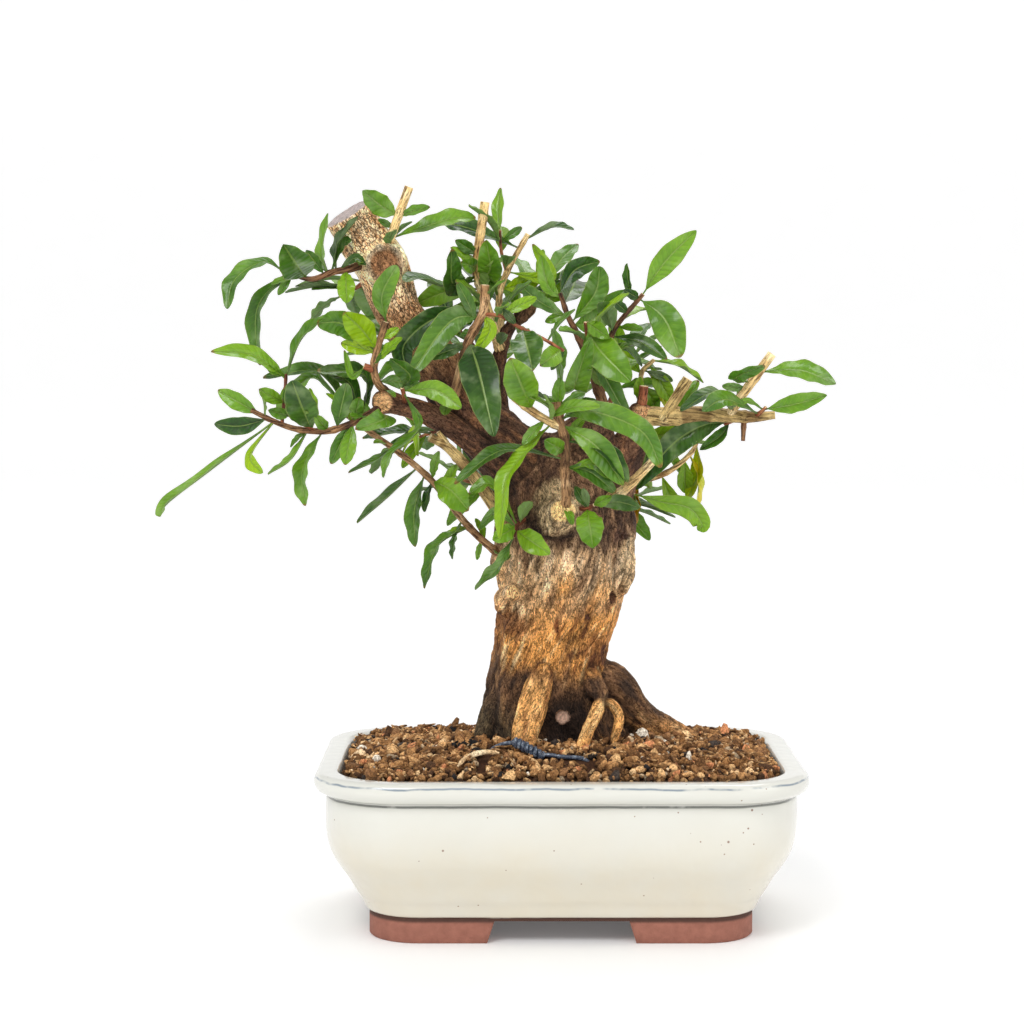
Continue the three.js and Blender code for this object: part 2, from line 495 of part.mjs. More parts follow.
const SHOOTS = [
  shoot('shoot_front_burl', [
    stem(
      2.4, 2.3, [563, 512, -20], [566, 500, -28], [565, 470, -31], [565, 440, -33], [558, 418, -34],
      [556, 402, -34],
    ),
    stem(2.1, 2.1, [560, 427, -33.5], [538, 415, -36], [514, 397, -38]),
  ], [
    leaf(12.5, 576, 417, 596, 446, 623, 485),
    leaf(12.5, 562, 419, 585, 410, 640, 430, 662, 468),
    leaf(7, 548, 430, 527, 450, 506, 481, 502, 540),
    leaf(16, 533, 410, 510, 358),
    leaf(5.5, 545, 419, 570, 407, 600, 405),
    leaf(6.5, 558, 408, 560, 378),
    leaf(4.5, 562, 408, 585, 394),
    leaf(5, 545, 424, 522, 445),
    leaf(5, 562, 459, 517, 449, 490, 455, 454, 484),
    leaf(8.5, 565, 452, 544, 440),
    leaf(5, 565, 470, 592, 464, 612, 478),
    leaf(7, 568, 440, 605, 450, 628, 482),
    leaf(8, 567, 468, 590, 472, 616, 493),
  ]),
  shoot('shoot_front_arm', [
    stem(2.5, 2.2, [450, 408, -4], [456, 388, -12], [467, 345, -18], [483, 312, -21], [485, 285, -23]),
    stem(0.9, 0.8, [481, 314, -21], [500, 316, -24], [517, 326, -27], [540, 337, -29], [564, 351, -31]),
  ], [
    leaf(19, 470, 342, 480, 375, 497, 446),
    leaf(13, 480, 316, 450, 322, 410, 375),
    leaf(12, 478, 318, 440, 316, 404, 345, 410, 377),
    leaf(16, 522, 328, 533, 372),
    leaf(7, 484, 314, 490, 330, 475, 353),
    leaf(6.5, 466, 345, 428, 358),
    leaf(6, 500, 316, 537, 297),
    leaf(4.5, 517, 326, 503, 309),
    leaf(10, 560, 349, 540, 366),
    leaf(4, 563, 351, 551, 370),
  ]),
  shoot('shoot_crown_front', [
    stem(1.8, 1.2, [590, 372, 3], [589, 350, -3], [586, 322, -8]),
  ], [
    leaf(17, 588, 328, 600, 350, 630, 381),
    leaf(13, 588, 360, 574, 390, 590, 336),
    leaf(8, 586, 322, 609, 338),
    leaf(9, 588, 350, 604, 375, 628, 419),
  ]),
  shoot('shoot_crown_right', [
    stem(1.9, 1.1, [599, 396, 7], [608, 364, 6], [613, 332, 3], [643, 294, -3]),
  ], [
    leaf(12, 642, 292, 665, 262, 696, 231),
    leaf(16, 641, 300, 664, 318, 680, 357),
    leaf(7.5, 614, 335, 640, 342, 667, 360),
    leaf(5, 640, 298, 624, 290),
    leaf(4, 616, 328, 643, 329),
    leaf(4, 612, 345, 630, 350, 643, 366),
    leaf(5, 628, 312, 613, 300),
  ]),
  shoot('shoot_crown_middle', [
    stem(2, 1.1, [591, 366, 8], [577, 334, 9], [568, 316, 9], [560, 293, 9]),
  ], [
    leaf(13, 572, 326, 592, 320, 625, 290),
    leaf(18, 565, 305, 577, 278),
    leaf(12, 572, 322, 595, 293, 600, 266),
    leaf(10, 561, 294, 575, 270, 600, 261),
    leaf(5, 566, 314, 545, 322),
    leaf(8, 563, 300, 548, 285, 541, 255),
    leaf(8, 570, 318, 538, 300, 520, 284),
  ]),
  shoot('shoot_crown_stick', [
    stem(1.9, 1.3, [503, 338, 19], [499, 300, 19], [507, 272, 18], [528, 234, 16]),
    stem(0.8, 0.7, [507, 275, 18], [501, 250, 15], [500, 230, 13]),
  ], [
    leaf(8.5, 519, 250, 470, 228, 444, 222),
    leaf(6, 500, 232, 498, 212, 501, 188),
    leaf(8, 508, 272, 548, 277, 533, 243),
    leaf(9, 501, 288, 522, 284, 545, 275),
    leaf(3.5, 526, 237, 553, 226, 574, 230),
    leaf(4.5, 501, 242, 522, 227),
    leaf(7, 503, 285, 556, 296, 580, 276),
  ]),
  shoot('shoot_crown_left', [
    stem(2.6, 2.3, [500, 350, 11], [488, 312, 6], [478, 275, 3], [477, 262, 2], [485, 202, -1]),
  ], [
    leaf(11, 479, 290, 445, 292, 413, 304),
    leaf(12.5, 479, 282, 490, 270, 486, 241),
    leaf(12.5, 477, 276, 454, 285, 453, 250),
    leaf(6.5, 479, 252, 455, 240),
    leaf(4, 478, 280, 442, 285, 411, 277, 393, 281),
    leaf(6, 485, 302, 447, 314),
    leaf(8, 479, 268, 462, 262),
  ]),
  shoot('shoot_stump_stick', [
    stem(2.3, 2.2, [388, 250, -8], [392, 234, -12], [409, 187, -15]),
  ], [
    leaf(11, 399, 214, 380, 205, 363, 191),
    leaf(8, 394, 238, 420, 228, 452, 218, 476, 218),
    leaf(5, 400, 219, 430, 207),
    leaf(3.5, 395, 229, 378, 219),
  ]),
  shoot('shoot_stump_left', [
    stem(2.2, 1, [368, 262, -8], [350, 269, -14], [333, 272, -17], [310, 279, -20], [283, 270, -24]),
  ], [
    leaf(17, 306, 279, 283, 244),
    leaf(7, 284, 270, 265, 261, 244, 270, 231, 284, 226, 308),
    leaf(8, 296, 276, 271, 288, 257, 307, 254, 333, 258, 366),
    leaf(4, 294, 276, 278, 295),
    leaf(6, 325, 273, 306, 250),
    leaf(4.5, 328, 272, 321, 251, 327, 213),
    leaf(3.5, 335, 271, 337, 245, 359, 217),
    leaf(4, 331, 272, 343, 245, 351, 239),
    leaf(4.5, 337, 271, 355, 258, 366, 265),
    leaf(9, 345, 271, 347, 303),
  ]),
  shoot('shoot_arm_stem', [
    stem(2.1, 1.7, [390, 394, -10], [379, 385, -19], [374, 370, -22], [377, 350, -23], [386, 322, -25]),
    stem(1.7, 1.6, [374, 370, -22], [364, 366, -23]),
  ], [
    leaf(10.5, 386, 322, 382, 295, 397, 265),
    leaf(13, 377, 350, 362, 330, 344, 313),
    leaf(12.5, 375, 355, 345, 325, 317, 323),
    leaf(7, 377, 352, 341, 343),
    leaf(4.5, 381, 338, 399, 328),
    leaf(4.5, 377, 365, 403, 338),
    leaf(3, 366, 376, 391, 351),
    leaf(3.5, 365, 367, 352, 376, 344, 350),
    leaf(7.5, 377, 381, 400, 382, 430, 394),
  ]),
  shoot('shoot_left_knob', [
    stem(1.2, 1, [404, 406, -15], [404, 396, -23], [402, 388, -26]),
  ], [
    leaf(10, 403, 391, 435, 390, 461, 408),
    leaf(10, 402, 388, 410, 376, 390, 358),
    leaf(5, 403, 392, 419, 426, 391, 453, 384, 478),
  ]),
  shoot('shoot_left_stem', [
    stem(
      2.1, 1.2, [382, 406, -17], [370, 414, -21], [360, 420, -22], [333, 430, -23], [312, 431, -24],
      [292, 428, -25], [271, 420, -26], [251, 410, -27],
    ),
    stem(0.9, 0.8, [282, 424, -25.5], [285, 391, -24], [286, 374, -23]),
    stem(0.8, 0.7, [316, 431, -24], [300, 423, -29], [287, 414, -31]),
  ], [
    leaf(11, 372, 412, 385, 418, 355, 430),
    leaf(8, 352, 423, 345, 465),
    leaf(7.5, 350, 424, 331, 464),
    leaf(7.5, 322, 431, 302, 470, 306, 506),
    leaf(3, 308, 431, 290, 458, 267, 473),
    leaf(3.5, 274, 422, 211, 468, 168, 502, 162, 518),
    leaf(4, 274, 422, 253, 448, 250, 461, 262, 473),
    leaf(9, 269, 420, 240, 426, 214, 424),
    leaf(8.5, 262, 414, 218, 390),
    leaf(7, 280, 402, 259, 389),
    leaf(6, 290, 416, 268, 410),
    leaf(7, 285, 378, 271, 366, 246, 351, 208, 347),
    leaf(4.5, 286, 376, 266, 366),
    leaf(4.5, 286, 374, 300, 338, 325, 314),
    leaf(15, 312, 430, 292, 381),
    leaf(4, 311, 430, 309, 388),
    leaf(4.5, 286, 414, 298, 398),
    leaf(10, 338, 428, 347, 383),
    leaf(7, 352, 423, 360, 397),
    leaf(6, 327, 430, 315, 415),
  ]),
  shoot('shoot_low_left', [
    stem(
      2.1, 1.3, [508, 562, 6], [494, 550, 0], [480, 538, -3], [462, 519, -5], [432, 481, -8],
      [401, 454, -10], [377, 437, -11], [345, 414, -12],
    ),
  ], [
    leaf(13.5, 432, 479, 450, 490, 469, 511),
    leaf(8, 426, 475, 414, 510, 416, 547),
    leaf(4, 431, 481, 424, 512),
    leaf(3.5, 418, 468, 385, 497, 355, 521),
    leaf(4.5, 470, 527, 437, 545, 425, 589),
    leaf(3, 462, 520, 451, 559),
    leaf(3, 481, 540, 477, 560),
    leaf(4.5, 434, 483, 439, 451),
    leaf(7, 403, 455, 415, 432, 418, 456),
    leaf(3, 392, 448, 374, 460, 348, 472),
    leaf(4.5, 352, 419, 320, 372, 263, 380),
    leaf(4.5, 362, 426, 366, 376, 317, 371),
    leaf(3.5, 352, 419, 317, 377, 292, 396, 284, 418),
    leaf(6, 356, 421, 352, 385, 325, 369),
    leaf(7, 372, 433, 360, 399),
  ]),
  shoot('shoot_trunk_left', [
    stem(1.3, 0.9, [524, 520, -12], [517, 526, -21], [513, 537, -25]),
  ], [
    leaf(11, 515, 530, 550, 554),
    leaf(8.5, 517, 526, 493, 540),
    leaf(5, 514, 538, 498, 566, 474, 588),
    leaf(5, 517, 527, 497, 512, 479, 530),
    leaf(4, 518, 525, 493, 484, 468, 492),
  ]),
  shoot('shoot_burl_right', [
    stem(1.1, 0.8, [576, 508, -16], [586, 509, -24], [594, 505, -28]),
  ], [
    leaf(13.5, 588, 511, 593, 548),
    leaf(5.5, 593, 505, 612, 496),
    leaf(5, 587, 508, 575, 486),
    leaf(8, 594, 505, 618, 502, 640, 508),
  ]),
  shoot('shoot_right_low', [
    stem(1.9, 1, [614, 472, 14], [640, 480, 26], [668, 472, 30], [690, 454, 32], [698, 440, 32]),
    stem(1.1, 0.8, [634, 480, 23], [634, 494, 12]),
  ], [
    leaf(11, 634, 494, 661, 502, 689, 508, 702, 524, 698, 531),
    leaf(9, 634, 493, 607, 503),
    leaf(6, 697, 443, 698, 470, 687, 500),
    leaf(8.5, 684, 459, 685, 493),
    leaf(7, 660, 475, 672, 498, 686, 500),
    leaf(4, 690, 454, 700, 480, 698, 511),
    leaf(6, 638, 480, 636, 505, 631, 532),
    leaf(7, 650, 478, 655, 455, 680, 440),
  ]),
  shoot('shoot_right_under', [
    stem(1.3, 0.9, [737, 417, 1], [732, 421, 7], [724, 424, 9]),
  ], [
    leaf(14, 728, 422, 702, 426, 671, 446, 634, 490),
    leaf(6, 730, 422, 720, 436, 700, 450),
  ]),
  shoot('shoot_right_tip', [
    stem(1.1, 0.8, [756, 416, -3.5], [762, 411, -8], [766, 407, -10]),
  ], [
    leaf(9, 764, 410, 795, 404, 827, 395),
    leaf(7.5, 759, 413, 716, 398, 686, 410),
    leaf(3, 763, 409, 748, 401, 738, 404),
  ]),
  shoot('shoot_right_stick', [
    stem(2.4, 2.2, [731, 413, -1.5], [735, 405, -4], [751, 383, -7], [772, 354, -10]),
  ], [
    leaf(9.5, 758, 373, 800, 370, 836, 384),
    leaf(8, 752, 382, 736, 378, 765, 366),
    leaf(4.5, 747, 388, 722, 386),
    leaf(4, 738, 401, 712, 392, 680, 409),
  ]),
  shoot('shoot_right_yellow', [
    stem(1.5, 1, [637, 416, 12], [641, 392, 18], [642, 372, 21], [654, 360, 23]),
  ], [
    leaf(5.5, 645, 370, 660, 385, 666, 407),
    leaf(9, 650, 364, 672, 402),
    leaf(9, 641, 385, 658, 407),
    leaf(4.5, 643, 370, 673, 381),
    leaf(3, 654, 361, 680, 365, 705, 381),
    leaf(8, 642, 375, 628, 360, 612, 352),
  ]),
  backShoot('shoot_back_arm', 5, [436, 366, 8], [415, 352, 24], [390, 340, 40]),
  backShoot('shoot_back_low_left', 5, [474, 420, 12], [445, 428, 28], [412, 440, 42]),
  backShoot('shoot_back_upright', 5, [498, 384, 16], [478, 352, 30], [452, 322, 44]),
  backShoot('shoot_back_crown', 5, [508, 334, 20], [524, 304, 34], [545, 282, 48]),
  backShoot('shoot_back_right_crown', 5, [604, 420, 8], [616, 386, 26], [630, 352, 42]),
  backShoot('shoot_back_shoulder', 5, [628, 446, 14], [650, 442, 30], [672, 432, 46]),
  backShoot('shoot_back_middle', 5, [562, 452, 24], [562, 418, 40], [558, 380, 54]),
  backShoot('shoot_back_stump', 5, [379, 266, 6], [362, 284, 20], [340, 296, 32]),
  backShoot('shoot_back_trunk_right', 5, [588, 486, 30], [604, 500, 46], [622, 508, 56]),
  backShoot('shoot_back_trunk_left', 5, [512, 500, 28], [486, 488, 42], [458, 478, 52]),
];

const UP = new THREE.Vector3(0, 0, 1);
const BACK = new THREE.Vector3(0, 1, 0);

// The places along a shoot's stems where a leaf can root, each with its sheet place kept.
function rootPlaces(stems) {
  const places = [];
  for (const path of stems) {
    for (let i = 0; i < path.length - 1; i++) {
      for (let k = 0; k <= 8; k++) {
        const blend = (axis) => THREE.MathUtils.lerp(path[i][axis], path[i + 1][axis], k / 8);
        places.push([0, 1, 2].map(blend));
      }
    }
  }
  return places;
}

function nearestRoot(places, across, down) {
  const distance = (place) => Math.hypot(place[0] - across, place[1] - down);
  return places.reduce((best, place) => (distance(place) < distance(best) ? place : best));
}

// The upper face of a blade: turned from the front view up towards the sky by the roll.
function bladeNormal(along, roll) {
  const front = BACK.clone().negate();
  front.addScaledVector(along, -front.dot(along)).normalize();
  const sky = new THREE.Vector3().crossVectors(along, front);
  if (sky.z < 0) sky.negate();
  return front.multiplyScalar(Math.cos(roll)).addScaledVector(sky, Math.sin(roll));
}

// A drawn leaf set in space. A blade that looks too round for its kind points at or away from the
// eye, and one that looks too narrow is rolled.
function setDrawnLeaf({ width, places }, roots) {
  const lean = draw(-0.35, 0.35);
  const [across, down] = places[0];
  const root = nearestRoot(roots, across, down);
  const behind = root[2];
  const foot = sheet(root[0], root[1], behind);
  const last = places[places.length - 1];
  const flatLength = sheet(last[0], last[1], behind).distanceTo(foot);
  const outward = behind < 4 ? -1 : 1;
  let depth = flatLength * (lean + 0.2 * outward);
  if (width > ROUNDEST * flatLength) {
    const length = Math.min(width / ROUNDEST, LONGEST_BLADE);
    depth = outward * Math.sqrt(Math.max(length ** 2 - flatLength ** 2, 0));
  }
  const points = [foot];
  for (let i = 1; i < places.length; i++) {
    const share = i / (places.length - 1);
    points.push(sheet(places[i][0], places[i][1], behind + depth * share));
  }
  const length = points[points.length - 1].distanceTo(foot);
  const fullWidth = Math.max(width, Math.min(SLENDERNESS * length, USUAL_WIDTH));
  const along = points[points.length - 1].clone().sub(foot).normalize();
  const normal = bladeNormal(along, Math.acos(width / fullWidth));
  return { points, width: fullWidth, normal, keeled: width < KEELED_WIDTH };
}

// Leaves by rule: alternate sides of the stem, swept back and outwards, one at the tip.
function setRuleLeaves({ stems, count }) {
  const path = stems[0].map(([across, down, behind]) => sheet(across, down, behind));
  const curve = new THREE.CatmullRomCurve3(path, false, 'catmullrom', 0.5);
  const leaves = [];
  for (let i = 0; i < count; i++) {
    const place = 0.4 + (0.58 * i) / (count - 1);
    const foot = curve.getPoint(place);
    const along = curve.getTangent(place);
    const side = new THREE.Vector3().crossVectors(along, UP).normalize();
    const spread = i === count - 1 ? 0 : (i % 2 ? 1 : -1) * draw(0.9, 1.4);
    const way = along.clone().addScaledVector(side, spread);
    way.addScaledVector(UP, draw(-0.5, 0.6)).normalize();
    const length = draw(27, 39);
    const tip = foot.clone().addScaledVector(way, length);
    const normal = UP.clone().addScaledVector(side, draw(-0.5, 0.5));
    normal.addScaledVector(way, -normal.dot(way)).normalize();
    leaves.push({ points: [foot, tip], width: length * draw(0.28, 0.36), normal, keeled: true });
  }
  return leaves;
}

// The ways a leaf may bend at its root to pass its neighbours: [swing, dip, length], degrees.
const BENDS = [];
for (const length of [1, 0.75]) {
  for (const swing of [0, 9, -9, 18, -18, 30, -30]) {
    for (const dip of [0, -12, 12, -24, 24, -38, 38]) BENDS.push([swing, dip, length]);
  }
}

function bentLeaf({ points, width, normal, keeled }, [swing, dip, length]) {
  const foot = points[0];
  const along = points[points.length - 1].clone().sub(foot).normalize();
  const dipAxis = new THREE.Vector3().crossVectors(along, BACK).normalize();
  const turn = (vector) => vector.clone()
    .applyAxisAngle(BACK, THREE.MathUtils.degToRad(swing))
    .applyAxisAngle(dipAxis, THREE.MathUtils.degToRad(dip));
  return {
    points: points.map((point) => turn(point.clone().sub(foot)).multiplyScalar(length).add(foot)),
    width: width * length,
    normal: turn(normal),
    keeled,
  };
}

function midrib({ points, normal }) {
  if (points.length > 2) return new THREE.CatmullRomCurve3(points, false, 'catmullrom', 0.5);
  const [foot, tip] = points;
  const middle = foot.clone().lerp(tip, 0.5);
  middle.addScaledVector(normal, BLADE_ARCH * foot.distanceTo(tip));
  return new THREE.CatmullRomCurve3([foot, middle, tip], false, 'catmullrom', 0.5);
}

// A blade with its root inside the stem and its tip a point. A broad one is folded, and its
// sections run from one edge over the top of the midrib to the other edge and back underneath. A
// narrow one is keeled: its sections are the two edges and the underside of the midrib.
function leafSolid(shape, margin = 0) {
  const curve = midrib(shape);
  const { keeled } = shape;
  const section = (place, half, rise, thickness) => {
    const centre = curve.getPoint(place);
    const along = curve.getTangent(place);
    const normal = shape.normal.clone().addScaledVector(along, -shape.normal.dot(along)).normalize();
    const side = new THREE.Vector3().crossVectors(along, normal);
    const top = keeled ? [] : [centre.clone().addScaledVector(normal, thickness / 2)];
    return [
      centre.clone().addScaledVector(side, -half).addScaledVector(normal, rise),
      ...top,
      centre.clone().addScaledVector(side, half).addScaledVector(normal, rise),
      centre.clone().addScaledVector(normal, -thickness / 2),
    ];
  };
  const stalk = STALK_RADIUS + margin;
  const rings = [section(0, stalk, keeled ? stalk / 2 : 0, 2 * stalk)];
  for (const [place, share] of shape.points.length > 2 ? CURVED_BLADE : STRAIGHT_BLADE) {
    const half = (shape.width / 2) * share;
    rings.push(section(place, half + margin, BLADE_FOLD * half, BLADE_THICKNESS + 2 * margin));
  }
  const tip = curve.getPoint(1).addScaledVector(curve.getTangent(1), margin);
  rings.push(rings[0].map(() => tip.clone()));
  return solidFromRings(rings);
}

function boxesMeet(a, b) {
  return [0, 1, 2].every((axis) => a.min[axis] <= b.max[axis] && b.min[axis] <= a.max[axis]);
}

function isClear(solid, obstacles, node) {
  const box = solid.boundingBox();
  return obstacles.every((obstacle) => {
    if (obstacle.node === node || !boxesMeet(box, obstacle.box)) return true;
    const common = solid.intersect(obstacle.solid);
    const clear = common.isEmpty();
    common.delete();
    return clear;
  });
}

function addObstacle(obstacles, solid, node) {
  obstacles.push({ solid, node, box: solid.boundingBox() });
}

function stemSolid(path, grow = 0) {
  return limb(path[0][3] > 1.5 ? 4 : 3, path, grow);
}

function shootSolids(trunk) {
  const obstacles = [];
  addObstacle(obstacles, trunk, 'trunk');
  const stems = new Map();
  for (const { name, stems: paths } of SHOOTS) {
    stems.set(name, joined(paths.map((path) => stemSolid(path))));
    addObstacle(obstacles, stems.get(name), name);
  }
  return SHOOTS.map((plan, number) => {
    seed(100 + number);
    const roots = rootPlaces(plan.stems);
    const leaves = plan.count ? setRuleLeaves(plan) : plan.leaves.map((drawn) => setDrawnLeaf(drawn, roots));
    let whole = stems.get(plan.name);
    for (const shape of leaves) {
      const fits = (choice) => isClear(leafSolid(bentLeaf(shape, choice), GAP), obstacles, plan.name);
      const bend = BENDS.find(fits);
      if (bend) {
        const blade = leafSolid(bentLeaf(shape, bend));
        addObstacle(obstacles, blade, plan.name);
        whole = whole.add(blade);
      }
    }
    return [plan.name, whole];
  });
}

// ---------------------------------------------------------------- assembly

function finish(colour, roughness) {
  return new THREE.MeshStandardMaterial({ color: colour, roughness, metalness: 0 });
}

const model = new THREE.Group();
model.add(piece('pot', potSolid(), finish(0xe9e7dc, 0.25)));
model.add(piece('soil', soilSolid(wireSolid(GAP)), finish(0x7a5436, 0.95)));
model.add(piece('tie_wire', wireSolid(0), finish(0x232c36, 0.5)));
model.add(piece('drain_screen_left', screenSolid(-DRAIN_OFFSET), finish(0x2d332f, 0.7)));
model.add(piece('drain_screen_right', screenSolid(DRAIN_OFFSET), finish(0x2d332f, 0.7)));

let trunk = trunkSolid();
for (const { stems } of SHOOTS) {
  for (const path of stems) trunk = trunk.subtract(stemSolid(path, GAP));
}
model.add(piece('trunk', trunk, finish(0x9a7448, 0.85)));
for (const [name, solid] of shootSolids(trunk)) model.add(piece(name, solid, finish(0x3f7f35, 0.45)));

const extent = new THREE.Box3().setFromObject(model);
model.position.set(-(extent.min.x + extent.max.x) / 2, -(extent.min.y + extent.max.y) / 2, 0);

export default model;
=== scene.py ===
"""A pomegranate bonsai in a glazed pot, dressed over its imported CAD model.

Lengths are worked out in millimetres from the middle of the pot, and become metres in the mesh.
"""
import functools
import math

import bmesh
import bpy
import numpy as np
from bpy.props import FloatProperty, FloatVectorProperty, IntProperty, PointerProperty
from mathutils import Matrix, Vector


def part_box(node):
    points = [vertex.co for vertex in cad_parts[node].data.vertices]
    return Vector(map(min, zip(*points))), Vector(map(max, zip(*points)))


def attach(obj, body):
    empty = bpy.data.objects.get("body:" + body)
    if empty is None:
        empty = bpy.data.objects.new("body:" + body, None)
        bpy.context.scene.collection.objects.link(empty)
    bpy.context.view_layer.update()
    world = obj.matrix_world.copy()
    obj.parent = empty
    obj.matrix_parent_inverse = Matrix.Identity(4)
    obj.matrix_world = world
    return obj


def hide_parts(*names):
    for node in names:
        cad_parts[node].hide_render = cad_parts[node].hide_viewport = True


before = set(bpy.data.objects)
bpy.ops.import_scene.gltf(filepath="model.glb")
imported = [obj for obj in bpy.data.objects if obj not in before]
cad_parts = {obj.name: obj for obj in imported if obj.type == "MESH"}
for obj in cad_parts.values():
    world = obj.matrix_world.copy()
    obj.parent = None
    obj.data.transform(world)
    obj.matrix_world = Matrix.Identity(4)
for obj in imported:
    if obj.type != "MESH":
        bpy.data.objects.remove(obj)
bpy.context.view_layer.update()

bl_info = {
    "name": "Potted Pomegranate Bonsai",
    "version": (1, 0, 0),
    "blender": (4, 5, 0),
    "location": "3D View > Sidebar > Bonsai",
    "description": "Builds an old pomegranate bonsai, its soil, tie wire and glazed pot",
    "category": "Add Mesh",
}

POT_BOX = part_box("pot")
POT_MIDDLE = np.array([500 * (POT_BOX[0].x + POT_BOX[1].x), 500 * (POT_BOX[0].y + POT_BOX[1].y), 0.0])

# The eye that the front elevation is drawn from, and the elevation's own scale.
EYE = np.array([-24.0, -1208.0, 292.3])
EYE_TILT = 0.073
SHEET_MIDDLE = 512
SHEET_DISTANCE = 2417.7

# The soil's height at the wall, its rise in the middle and how far from there the rise ends.
SOIL_EDGE, SOIL_RISE, RISE_ACROSS, RISE_DEEP = 80, 11, 112, 80
MOUTH_DEEP = 76.0

# ---------------------------------------------------------------- placing


def sheet(places):
    """Places drawn on the front elevation, as points in millimetres.

    Each row is across, down and the depth behind the pot's middle. The sight line through
    (across, down) leaves the eye at the tilt, and the point is where it reaches that depth.
    """
    places = np.asarray(places, float)
    u = (places[..., 0] - SHEET_MIDDLE) / SHEET_DISTANCE
    v = (SHEET_MIDDLE - places[..., 1]) / SHEET_DISTANCE
    cos, sin = math.cos(EYE_TILT), math.sin(EYE_TILT)
    reach = (places[..., 2] - EYE[1]) / (cos + v * sin)
    return np.stack([EYE[0] + u * reach, places[..., 2], EYE[2] + reach * (v * cos - sin)], -1)


def drawn(points):
    """Where points stand on the front elevation: across and down, the inverse of sheet."""
    offset = points - EYE
    cos, sin = math.cos(EYE_TILT), math.sin(EYE_TILT)
    reach = offset[:, 1] * cos - offset[:, 2] * sin
    across = SHEET_MIDDLE + SHEET_DISTANCE * offset[:, 0] / reach
    down = SHEET_MIDDLE - SHEET_DISTANCE * (offset[:, 2] * cos + offset[:, 1] * sin) / reach
    return across, down


def soil_height(x, y):
    """Height of the soil: that at the wall, and more in the middle along two parabolas."""
    rise = np.clip(1 - (x / RISE_ACROSS) ** 2, 0, 1) * np.clip(1 - (y / RISE_DEEP) ** 2, 0, 1)
    return SOIL_EDGE + SOIL_RISE * rise


def on_soil(across, down, lift=0.0):
    """The point where the sight line of a drawn place meets the soil, found by halving its depth."""
    near, far = -MOUTH_DEEP, MOUTH_DEEP
    for _ in range(24):
        middle = (near + far) / 2
        point = sheet([across, down, middle])
        if point[2] > soil_height(point[0], point[1]) + lift:
            near = middle
        else:
            far = middle
    return point


# ---------------------------------------------------------------- arrays


def unit(vectors):
    """Each vector divided by its length."""
    return vectors / np.maximum(np.linalg.norm(vectors, axis=-1, keepdims=True), 1e-9)


def blend(value, low, high):
    """0 below low, 1 above high, and 3 t squared less 2 t cubed between them."""
    t = np.clip((value - low) / (high - low), 0, 1)
    return t * t * (3 - 2 * t)


def bell(value, width):
    """1 at 0, falling on both sides as e to the minus square of value over width."""
    return np.exp(-(value / width) ** 2)


def turn_plan(angle):
    """The matrix that turns rows of x and y anticlockwise by the angle."""
    return np.array([[math.cos(angle), math.sin(angle)], [-math.sin(angle), math.cos(angle)]])


def curve_at(points, at):
    """Points and directions at parameters of the uniform Catmull-Rom curve through the points.

    Each span is the cubic whose end slopes are half the chord between the neighbours, and the
    ends lean on points mirrored past them. The directions are its slopes.
    """
    points = np.asarray(points, float)
    padded = np.vstack([2 * points[0] - points[1], points, 2 * points[-1] - points[-2]])
    span = np.minimum(at.astype(int), len(points) - 2)
    t = (at - span)[:, None]
    before, start, end, after = (padded[span + k] for k in range(4))
    leave, arrive = (end - before) / 2, (after - start) / 2
    square = 3 * (end - start) - 2 * leave - arrive
    cube = 2 * (start - end) + leave + arrive
    slope = leave + 2 * square * t + 3 * cube * t ** 2
    return start + leave * t + square * t ** 2 + cube * t ** 3, unit(slope)


def smooth_path(points, count):
    """Points evenly spaced in parameter on the curve through the given ones."""
    return curve_at(points, np.linspace(0, len(points) - 1, count))[0]


def travelled(path):
    """The distance along a path to each of its points."""
    return np.concatenate([[0], np.cumsum(np.linalg.norm(np.diff(path, axis=0), axis=1))])


def lattice_noise(points, seed=0):
    """Noise from -1 to 1: values fixed by each corner of the unit lattice, blended in between."""
    points = np.asarray(points, float)
    cell = np.floor(points).astype(np.int64)
    t = points - cell
    t = t * t * (3 - 2 * t)
    total = np.zeros(points.shape[:-1])
    for corner in range(8):
        step = np.array([corner & 1, corner >> 1 & 1, corner >> 2 & 1])
        weight = np.prod(np.where(step, t, 1 - t), axis=-1)
        key = (cell + step) @ np.array([73856093, 19349663, 83492791]) + seed * 40503
        key = ((key ^ (key >> 13)) * 1274126177) & 0x7FFFFFFF
        key = ((key ^ (key >> 16)) * 668265263) & 0x7FFFFFFF
        total += weight * ((key >> 8 & 0xFFFF) / 32767.5 - 1)
    return total


def cloud_noise(points, stretch, seed, octaves=3):
    """Lattice noise at doubling scales, each half as strong, from about -1 to 1.

    Its largest cells are as long as the stretch, which is one length or one for each axis.
    """
    cells = points / np.array(stretch)
    return sum(lattice_noise(cells * 2 ** k + 17.3 * k, seed + k) / 2 ** k for k in range(octaves)) / 1.5


FIRST_NORMAL = np.array([0.31, -0.94, 0.13])


def frames_along(path):
    """Tangent, normal and side at each place of a path, the normal carried without twisting."""
    along = unit(np.gradient(path, axis=0))
    normals = []
    normal = FIRST_NORMAL
    for tangent in along:
        normal = unit(normal - normal.dot(tangent) * tangent)
        normals.append(normal)
    normals = np.array(normals)
    return along, normals, np.cross(along, normals)


def colour(red, green, blue):
    """A colour given as it is seen, from 0 to 255, in the linear values that shading takes."""
    seen = np.array([red, green, blue]) / 255
    return np.where(seen > 0.04045, ((seen + 0.055) / 1.055) ** 2.4, seen / 12.92)


def mix(first, second, share):
    """The first colours moved towards the second by the share, row by row."""
    share = np.asarray(share)[..., None]
    return first * (1 - share) + second * share


# ---------------------------------------------------------------- meshes


